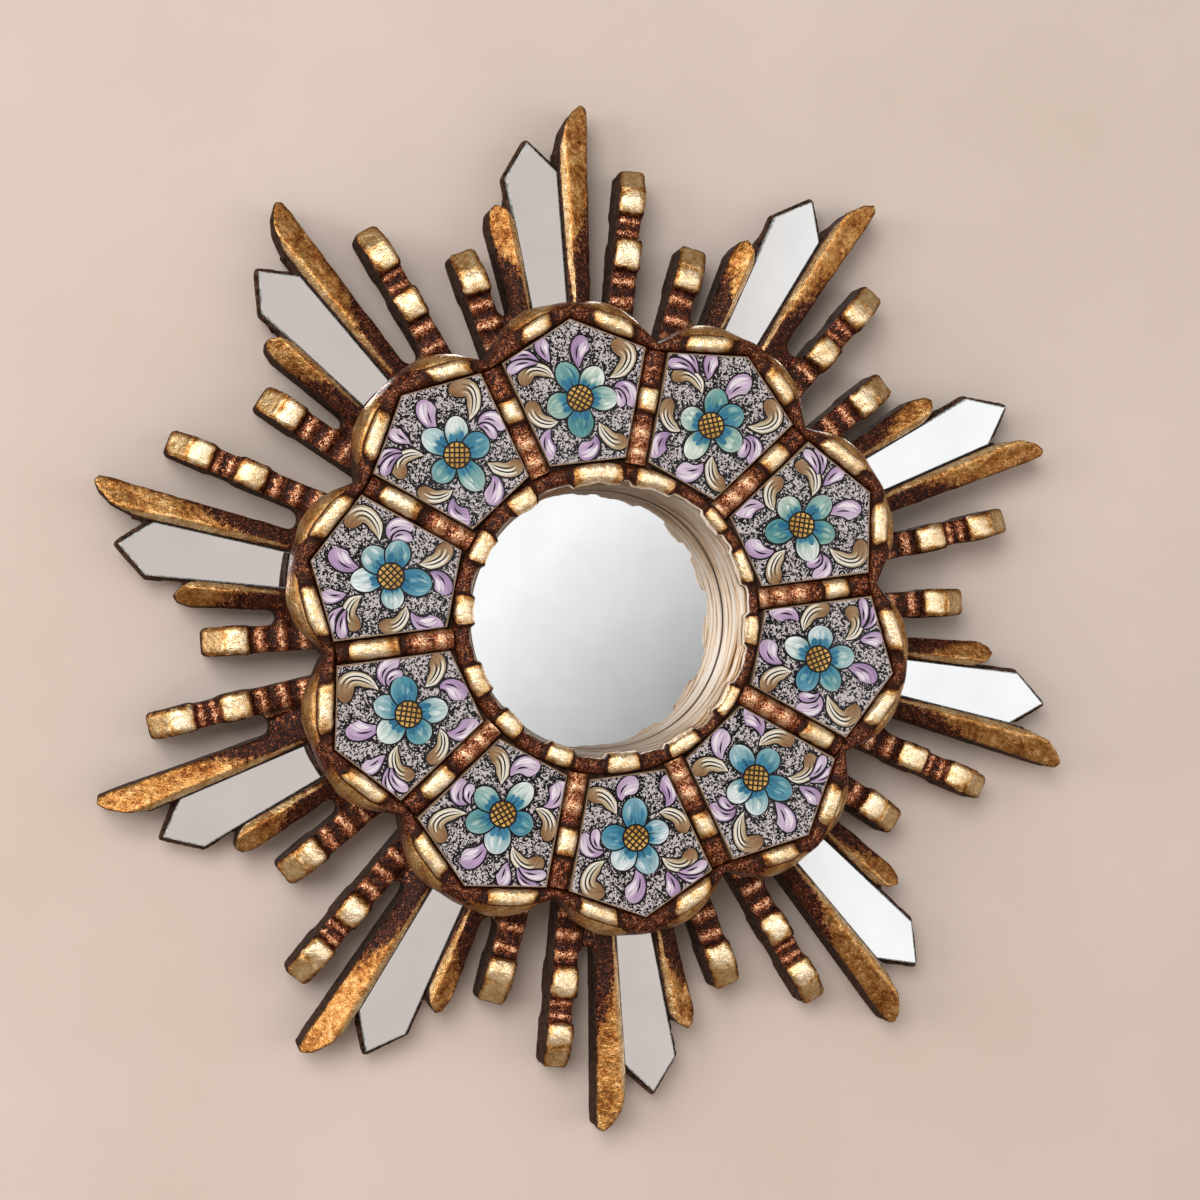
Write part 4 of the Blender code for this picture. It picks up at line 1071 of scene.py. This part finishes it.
# Painting in mm from the flower's middle, with y outwards on the tile: width of the dark outlines, edges of
# the tile and half its width halfway up, and turn in degrees and reach of each petal
OUTLINE = 0.60
TILE_LOW = (TILE_IN - FLOWER_AT) / MM
TILE_PEAK = (TILE_PEAK_Y - FLOWER_AT) / MM
TILE_SLANT = (TILE_CORNER_X - TILE_IN_X) / (TILE_CORNER_Y - TILE_IN)
TILE_HALF = 18
PETALS = ((-17, 12.8), (43, 12.0), (103, 11.8), (189, 13.2), (263, 10.8))
COMMAS = (
    # tail, two bends, end, width
    ((0.7, 10.0), (0.4, 13.4), (1.2, 17.8), (5.2, 18.8), 7.4),
    ((-8.6, 12.6), (-8.8, 15.0), (-11.6, 18.0), (-9.0, 20.6), 5.6),
    ((-12.4, 13.2), (-15.0, 16.4), (-18.5, 17.0), (-21.2, 15.0), 3.8),
    ((-12.9, 12.4), (-16.0, 13.6), (-19.0, 13.2), (-22.0, 10.8), 3.8),
    ((-10.6, -8.8), (-13.8, -11.0), (-14.0, -15.8), (-10.8, -17.8), 7.2),
    ((3.4, -12.4), (3.8, -15.4), (1.6, -18.0), (-3.0, -17.8), 7.2),
    ((11.6, 2.6), (15.0, 3.8), (18.0, 1.6), (16.6, -4.4), 5.6),
    ((11.2, 1.8), (13.4, 1.4), (14.0, -0.6), (12.8, -4.2), 3.6),
)
SCROLLS = (
    # root, two bends, end, width at the end
    ((-7.6, 7.4), (-10.6, 12.4), (-18.4, 12.6), (-17.0, 6.2), 5.4),
    ((-8.4, -6.8), (-12.2, -7.2), (-17.2, -5.2), (-15.8, 0.8), 5.2),
    ((5.4, -8.2), (6.6, -13.2), (9.4, -17.4), (13.6, -14.4), 6.0),
    ((10.6, 5.6), (18.0, 7.6), (21.4, 15.2), (12.2, 15.8), 6.0),
)
INK = linear("#0d0b10")
LILACS = (linear("#775c86"), linear("#ab8fb1"), linear("#cabacb"), linear("#e6e2e4"))
BEIGES = (linear("#bfb195"), linear("#a38b6b"), linear("#8a6846"), linear("#704e32"))
CREAM = linear("#ded8ca")
TEALS = (linear("#215a70"), linear("#417f85"), linear("#729c93"), linear("#9fb7aa"), linear("#d0d8cf"))
BLUES = (linear("#1f607f"), linear("#3f8099"), linear("#78a2ae"), linear("#a6bdc3"), linear("#d3dcdd"))
# How blue the flower of each tile is
COOLNESS = (0.0, 0.1, 0.0, 0.6, 0.7, 1.2, 0.5, 0.6, 0.8, 0.5)
OCHRES = (linear("#a97c30"), linear("#cfa757"))
UMBER = linear("#2b1c12")

# Height of the first stroke over the glass, of each next one over the last, and thickness of the paint, in
# metres, with the length and half width that the bristle marks of a stroke are drawn for
STROKE_LIFT = 0.00004
STROKE_STEP = 0.000001
FILM_T = 0.00012
MARKS_L = 0.010
MARKS_HALF = 0.002


def blend(colours, share):
    """Colour at a share of the way through a run of colours."""
    place = min(max(share, 0.0), 1.0) * (len(colours) - 1)
    low = min(int(place), len(colours) - 2)
    part = place - low
    return [a + (b - a) * part for a, b in zip(colours[low], colours[low + 1])]


def plain(colour):
    """The same colour all over a stroke."""
    return lambda along, across: colour


def pointed(most, least, power=1.0):
    """Half width of a stroke that is pointed at both ends."""
    return lambda share: most * math.sin(share * math.pi) ** power + least


def part_of(swell, part):
    """Sideways shift along a stroke, by a part of the half width of the one below it."""
    return lambda share: part * swell(share)


def on_tile(spot):
    """A spot of the painting moved in, where needed, to stay on the tile."""
    margin = 0.35
    x, y = spot
    y = max(y, TILE_LOW + margin)
    limit = TILE_IN_X / MM + (y - TILE_LOW) * TILE_SLANT - margin
    if abs(x) > limit:
        x = math.copysign(limit, x)
    roof = TILE_PEAK - margin * 1.2 - abs(x) * TILE_FALL
    return x, min(y, roof)


class Painting:
    """The strokes on one tile: flat sheets in the tile's own plane, laid one over the other."""

    def __init__(self, index):
        self.shape = bmesh.new()
        self.paint = self.shape.verts.layers.float_color.new("paint")
        self.uv = self.shape.loops.layers.uv.new("stroke")
        self.layer = 0
        self.dice = random.Random(300 + index)
        self.turn = FIRST_TURN + index * PITCH
        self.cool = COOLNESS[index]
        self.inked = []

    def stand_on_tile(self, x, y, level):
        """Place of a spot on the tile, given in mm from the flower's middle."""
        return (*on_ray(self.turn, y * MM + FLOWER_AT, x * MM), level)

    def sheet(self, steps, lanes, place, colour):
        """One stroke; place maps its shares along, from 0, and across, from -1, to mm on the tile."""
        self.layer += 1
        level = TILE_TOP + STROKE_LIFT + STROKE_STEP * self.layer
        made = grid_verts(self.shape, steps, lanes)
        flat = {}
        drift = self.dice.uniform(0, 5)
        for vert in made:
            along, across = (vert.co.x + 1) / 2, vert.co.y
            flat[vert] = (drift + along * MARKS_L, drift + across * MARKS_HALF)
            vert[self.paint] = colour(along, across)
            vert.co = self.stand_on_tile(*on_tile(place(along, across)), level)
        write_flat({face for vert in made for face in vert.link_faces}, self.uv, flat)

    def ribbon(self, spine, width, colour, steps=12, lanes=2, start=0.0, end=1.0, aside=None):
        """Stroke along a curve; width gives its half width, and aside its sideways shift, in mm."""
        points = [Vector(point) for point in spine]

        def place(along, across):
            eased = (1 - math.cos(along * math.pi)) / 2
            share = start + (end - start) * eased
            ahead = bezier(points, min(share + 0.01, 1.0)) - bezier(points, max(share - 0.01, 0.0))
            ahead.normalize()
            reach = across * width(eased) + (aside(share) if aside else 0.0)
            return bezier(points, share) + Vector((ahead.y, -ahead.x)) * reach

        self.sheet(steps, lanes, place, colour)

    def outline(self, spine, width, steps=14):
        """Dark outline under a stroke, which the ground thickens round."""
        self.ribbon(spine, lambda share: width(share) + OUTLINE, plain(INK), steps, 2)
        points = [Vector(point) for point in spine]
        for step in range(9):
            self.inked.append((*bezier(points, step / 8), width(step / 8)))

    def disc(self, middle, radius, colour):
        """Round dab of paint."""

        def place(along, across):
            u, v = 2 * along - 1, across
            return (middle[0] + radius * u * math.sqrt(1 - v * v / 2),
                    middle[1] + radius * v * math.sqrt(1 - u * u / 2))

        self.sheet(8, 8, place, colour)

    def shaken(self, spine, reach):
        """Points of a curve, each a little off its place."""
        stray = self.dice.uniform
        return [(x + stray(-reach, reach), y + stray(-reach, reach)) for x, y in spine]

    def comma(self, spine, width):
        """Lilac comma: a fine tail that swells to a round end, with pale strokes and a dark line on it."""
        spine = self.shaken(spine, 0.5)
        half = width / 2 * self.dice.uniform(1.10, 1.28)
        pale = self.dice.uniform(-0.08, 0.18)
        hand = self.dice.choice((-1, 1))

        def swell(share):
            return max(0.06, half * (share ** 0.75) * math.sqrt(max(0.0, 1 - share ** 6)))

        def wash(along, across):
            return blend(LILACS, 0.22 + pale + 0.25 * along + 0.12 * across)

        self.outline(spine, swell)
        self.ribbon(spine, swell, wash, 14, 4)
        for most, least, shade, start, end, side in (
                (0.17 * half, 0.03, blend(LILACS, 0.9), 0.30, 0.92, 0.52),
                (0.11 * half, 0.03, blend(LILACS, 0.75), 0.50, 0.95, 0.10),
                (0.26, 0.04, INK, 0.25, 0.72, -0.20)):
            self.ribbon(spine, pointed(most, least), plain(shade), 8, 1, start, end,
                        part_of(swell, hand * side))

    def scroll(self, spine, width):
        """Beige scroll that swells to a brown bulb, with cream strands and dark lines along it."""
        spine = self.shaken(spine, 0.4)
        half = width / 2 * self.dice.uniform(1.12, 1.28)
        (ax, ay), (bx, by), (cx, cy) = spine[0], spine[1], spine[3]
        hand = 1 if (bx - ax) * (cy - ay) - (by - ay) * (cx - ax) > 0 else -1

        def swell(share):
            return max(0.08, half * min(1.0, share * 5) * (0.50 + 0.50 * share ** 1.5)
                       * math.sqrt(max(0.0, 1 - share ** 9)))

        def wash(along, across):
            return blend(BEIGES, 0.06 + 0.9 * along ** 1.8 - 0.1 * hand * across)

        self.outline(spine, swell)
        self.ribbon(spine, swell, wash, 16, 4)
        for side, wide, shade in ((0.62, 0.46, CREAM), (-0.50, 0.30, BEIGES[0]), (0.10, 0.34, CREAM)):
            last = self.dice.uniform(0.62, 0.86)
            self.ribbon(spine, pointed(wide, 0.05, 0.6), plain(shade), 12, 1, 0.02, last,
                        part_of(swell, hand * side))
        for side in (0.34, -0.20):
            self.ribbon(spine, pointed(0.20, 0.05), plain(INK), 12, 1, 0.08, 0.80,
                        part_of(swell, hand * side))

    def petal(self, turn, reach, fresh):
        """One broad petal: blue and veined at its root, paler and greener to its tip, in a dark outline."""
        angle = math.radians(turn + self.dice.uniform(-4, 4))
        ahead = Vector((math.sin(angle), math.cos(angle)))
        beside = Vector((ahead.y, -ahead.x))
        reach = reach + self.dice.uniform(-0.6, 0.6)
        half = self.dice.uniform(3.6, 4.3)
        tilt = self.dice.uniform(-0.22, 0.22)
        cool = self.cool + self.dice.uniform(-0.3, 0.3)
        teals = [blend((green, blue), cool) for green, blue in zip(TEALS, BLUES)]
        spine = [ahead * 2.6, ahead * (2.6 + (reach - 2.6) * 0.5), ahead * reach]

        def swell(share):
            root = 0.50 + 0.50 * math.sin(min(share / 0.55, 1.0) * math.pi / 2)
            end = math.sqrt(max(0.0, 1 - (max(share - 0.5, 0.0) / 0.5) ** 2))
            return max(0.1, half * root * end)

        def wash(along, across):
            shade = fresh * step_at(0.15, 0.65, along) + 0.34 * along
            return shade + 0.10 * across ** 2 + tilt * across * along

        self.outline(spine, swell, 12)
        self.ribbon(spine, swell, lambda along, across: blend(teals, wash(along, across)), 14, 8)
        for _ in range(5):
            side = self.dice.uniform(-0.66, 0.66)
            low = self.dice.uniform(0.20, 0.55)
            high = low + self.dice.uniform(0.25, 0.4)
            shift = self.dice.choice((-0.18, 0.14, 0.22, 0.30))
            wide = self.dice.uniform(0.3, 0.7)

            def streak(along, across):
                return blend(teals, wash(low + (high - low) * along, side) + shift)

            self.ribbon(spine, pointed(wide, 0.04), streak, 8, 1, low, min(high, 0.95),
                        part_of(swell, side))
        for side in (-0.46, 0.0, 0.46):
            last = self.dice.uniform(0.30, 0.54)
            deep = self.dice.uniform(-0.05, 0.16)
            self.ribbon(spine, lambda share: 0.30 * half * math.sqrt(max(0.0, 1 - share ** 3)) + 0.05,
                        lambda along, across: blend(BLUES, deep + 0.12 * along), 8, 1, 0.0, last,
                        part_of(swell, side))
        for lean in (-0.32, 0.0, 0.32):
            end = reach * self.dice.uniform(0.42, 0.6)
            vein = [ahead * 3.2 + beside * lean * 3, ahead * end + beside * lean * 6]
            shade = BLUES[0] if lean else INK
            self.ribbon(vein, lambda share: 0.30 * (1 - share) + 0.05, plain(shade), 4, 1)

    def heart(self):
        """Ochre middle of the flower, hatched both ways."""
        radius = 4.0
        self.disc((0, 0), radius + OUTLINE, plain(INK))
        self.disc((0, 0), radius, lambda along, across: blend(OCHRES, 0.5 + 0.5 * across))
        twist = self.dice.uniform(-15, 15)
        for lean in (twist + 45, twist - 45):
            ahead = Vector((math.sin(math.radians(lean)), math.cos(math.radians(lean))))
            beside = Vector((ahead.y, -ahead.x))
            for shift in (-2.4, -0.8, 0.8, 2.4):
                reach = math.sqrt(radius ** 2 - shift ** 2)
                line = [beside * shift - ahead * reach, beside * shift + ahead * reach]
                self.ribbon(line, lambda share: 0.30, plain(UMBER), 3, 1)

    def strokes(self, name):
        """Mesh of all the strokes, from the scrolls below to the heart on top."""
        for *spine, width in SCROLLS:
            self.scroll(spine, width)
        for *spine, width in COMMAS:
            self.comma(spine, width)
        turn = self.dice.uniform(-6, 6)
        washes = self.dice.sample((0.04, 0.18, 0.36, 0.54, 0.70), 5)
        for (petal, reach), wash in zip(PETALS, washes):
            self.petal(petal + turn, reach, wash)
        self.heart()
        face_up(self.shape)
        return mesh_of(name, self.shape)

    def ground(self, name):
        """Mesh of the tile's front, which knows how close the strokes are and where its edge line runs."""
        shape = bmesh.new()
        edge = shape.verts.layers.float.new("edge")
        close = shape.verts.layers.float.new("close")
        inked = np.array(self.inked)
        # The grid is closer to the edges, where the line is drawn
        crowd = math.pi / 2 * 0.94
        for vert in grid_verts(shape, 56, 48):
            u = math.sin(vert.co.x * crowd) / math.sin(crowd)
            v = (math.sin(vert.co.y * crowd) / math.sin(crowd) + 1) / 2
            low_x, high_x = u * TILE_IN_X / MM, u * TILE_CORNER_X / MM
            high_y = TILE_PEAK - abs(high_x) * TILE_FALL
            x, y = low_x + (high_x - low_x) * v, TILE_LOW + (high_y - TILE_LOW) * v
            to_edge = min(y - TILE_LOW, high_y - y, (1 - abs(u)) * TILE_HALF)
            vert[edge] = 1 - step_at(0.25, 0.55, to_edge)
            gap = (np.hypot(inked[:, 0] - x, inked[:, 1] - y) - inked[:, 2]).min()
            vert[close] = 1 - step_at(0.3, 1.4, gap)
            vert.co = self.stand_on_tile(x, y, TILE_TOP)
        face_up(shape)
        return mesh_of(name, shape)


def add_tile(index, ground, paint):
    """One glass tile with its speckled ground, and the strokes painted on it."""
    plate_name, film_name = numbered("glass_tile", index), numbered("tile_strokes", index)
    painting = Painting(index)
    strokes = painting.strokes(film_name)
    plate = show_piece(plate_name, painting.ground(plate_name), [ground], "painted_glass",
                       numbered("painted_tile", index))
    film = show_piece(film_name, strokes, [paint], "painted_glass")
    for piece, thickness in ((plate, TILE_T), (film, FILM_T)):
        body = piece.modifiers.new("thickness", "SOLIDIFY")
        body.thickness = thickness
        body.offset = -1.0


def add_stage():
    """Pale plaster wall behind the mirror, seen from the front only, and a pale floor below."""
    material, tree, shader = new_finish("pale_plaster", Roughness=0.9)
    spot = add_node(tree, "TexCoord").outputs["Object"]
    # Patches 110 mm wide
    patch = add_node(tree, "TexNoise", {"Vector": spot, "Scale": 9.0, "Detail": 4.0}).outputs["Fac"]
    colour = add_node(tree, "ValToRGB", {"Fac": patch}, stops=(
        (0.3, "#cabaad"), (0.7, "#d2c2b7"))).outputs["Color"]
    tree.links.new(colour, shader.inputs["Base Color"])
    behind = add_node(tree, "NewGeometry").outputs["Backfacing"]
    clear = add_node(tree, "BsdfTransparent").outputs[0]
    either = add_node(tree, "MixShader", {0: behind, 1: shader.outputs[0], 2: clear}).outputs[0]
    tree.links.new(either, tree.nodes["Material Output"].inputs["Surface"])
    wall_y, floor_z, reach = 0.0006, -0.62, 4.0
    for name, turn, place in (("wall", STAND, (0.0, wall_y, reach + floor_z)),
                              ("floor", Matrix.Identity(4), (0.0, 0.0, floor_z))):
        shape = bmesh.new()
        bmesh.ops.create_grid(shape, x_segments=1, y_segments=1, size=reach)
        bmesh.ops.transform(shape, matrix=Matrix.Translation(place) @ turn, verts=shape.verts)
        mesh = mesh_of(name, shape)
        mesh.materials.append(material)
        stage = bpy.data.objects.new(name, mesh)
        bpy.context.scene.collection.objects.link(stage)
        stage.visible_glossy = False
        if name == "wall":
            stage.visible_diffuse = False
            stage.visible_transmission = False
            stage.visible_shadow = False


LAMP_AIM = Vector((0.0, -0.02, 0.0))


def add_lamp(name, place, power, size):
    """Square soft lamp that shines on the mirror's middle."""
    lamp = bpy.data.lights.new(name, "AREA")
    lamp.energy = power
    lamp.size = size
    holder = bpy.data.objects.new(name, lamp)
    holder.location = place
    holder.rotation_euler = (LAMP_AIM - Vector(place)).to_track_quat("-Z", "Y").to_euler()
    bpy.context.scene.collection.objects.link(holder)


def add_light():
    """Soft key from the upper left, a window to the left, a fill from the right, a lamp for the back, and
    an even room."""
    add_lamp("key", (-0.75, -2.0, 0.75), 28.0, 1.1)
    add_lamp("window", (-1.7, -1.1, 0.25), 11.0, 0.9)
    add_lamp("fill", (1.6, -1.5, -0.2), 9.0, 1.4)
    add_lamp("rear", (0.5, 1.8, 0.7), 20.0, 1.0)
    world = bpy.data.worlds.new("studio")
    bpy.context.scene.world = world
    world.use_nodes = True
    tree = world.node_tree
    ray = add_node(tree, "LightPath")
    way = add_node(tree, "TexCoord").outputs["Generated"]
    part = add_node(tree, "SeparateXYZ", {0: way})
    # The mirrors see a grey room with a white card to the right, and a card in front that shades to its
    # lower right. Away from these the room is dusky.
    card = add_node(tree, "MapRange", {"Value": part.outputs["X"], "From Min": 0.20, "From Max": 0.30},
                    interpolation_type="SMOOTHSTEP").outputs[0]
    room = add_node(tree, "Mix", {0: card, 6: (0.62, 0.55, 0.52, 1.0), 7: (0.98, 0.98, 0.98, 1.0)},
                    data_type="RGBA").outputs[2]
    fall = add_node(tree, "Math", {0: part.outputs["Z"], 1: part.outputs["X"]},
                    operation="SUBTRACT").outputs[0]
    shade = add_node(tree, "MapRange", {"Value": fall, "From Min": -0.236, "From Max": -0.130,
                                        "To Min": 0.42, "To Max": 1.0}).outputs[0]
    middle = add_node(tree, "VectorMath", {0: way, 1: (0.184, -0.983, 0.0165)},
                      operation="DISTANCE").outputs["Value"]
    front = add_node(tree, "MapRange", {"Value": middle, "From Min": 0.105, "From Max": 0.07},
                     interpolation_type="SMOOTHSTEP").outputs[0]
    near = add_node(tree, "MapRange", {"Value": middle, "From Min": 0.75, "From Max": 0.35},
                    interpolation_type="SMOOTHSTEP").outputs[0]
    dusk = add_node(tree, "Mix", {0: near, 6: (0.34, 0.30, 0.26, 1.0), 7: room},
                    data_type="RGBA").outputs[2]
    seen = add_node(tree, "Mix", {0: front, 6: dusk, 7: shade}, data_type="RGBA").outputs[2]
    even = add_node(tree, "Mix", {0: ray.outputs["Is Camera Ray"], 6: (0.36, 0.36, 0.36, 1.0),
                                  7: linear("#ebe4de")}, data_type="RGBA").outputs[2]
    glossy = add_node(tree, "Mix", {0: ray.outputs["Is Glossy Ray"], 6: even, 7: seen},
                      data_type="RGBA").outputs[2]
    tree.links.new(glossy, tree.nodes["Background"].inputs["Color"])


def add_camera():
    """Camera of the photograph: a little left of the axis and level with it."""
    lens = bpy.data.cameras.new("camera")
    lens.sensor_width = 36.0
    lens.lens = 76.9
    lens.shift_x = 0.0033
    lens.shift_y = 0.0159
    holder = bpy.data.objects.new("camera", lens)
    bpy.context.scene.collection.objects.link(holder)
    target = Vector((0.0, -RAY_T, 0.0))
    turn, rise, distance = math.radians(-10.85), math.radians(-0.75), 0.853
    back = Vector((math.sin(turn) * math.cos(rise), -math.cos(turn) * math.cos(rise), math.sin(rise)))
    holder.location = target + back * distance
    holder.rotation_euler = (-back).to_track_quat("-Z", "Y").to_euler()
    bpy.context.scene.camera = holder


def dress_solids(glass, board, card, steel):
    """Finishes of the solids that show as they are."""
    finishes = {"centre_mirror": glass, "back_panel": board, "packing_disc": card, "hanger_strap": steel,
                "hanger_screw": steel, "hanger_ring": steel}
    for index in range(TACKS):
        finishes[numbered("panel_tack", index)] = steel
    for name, finish in finishes.items():
        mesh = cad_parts[name].data
        mesh.materials.clear()
        mesh.materials.append(finish)


bpy.context.scene.view_settings.view_transform = "Standard"
add_camera()
add_light()
add_stage()
gilt = gilded_wood()
glass = silvered_glass()
edges = cut_edge()
ground = speckled_ground()
strokes = brush_paint()
for unit in range(UNITS):
    carve_segment(unit, gilt)
    add_ray_mirror(unit, glass, edges)
    add_tile(unit, ground, strokes)
add_flower_border(gilt)
raw = raw_wood()
add_rim(gilt, raw)
add_bars(gilt)
add_well_liner(raw)
dress_solids(glass, hardboard(), packing_card(), plated_steel())
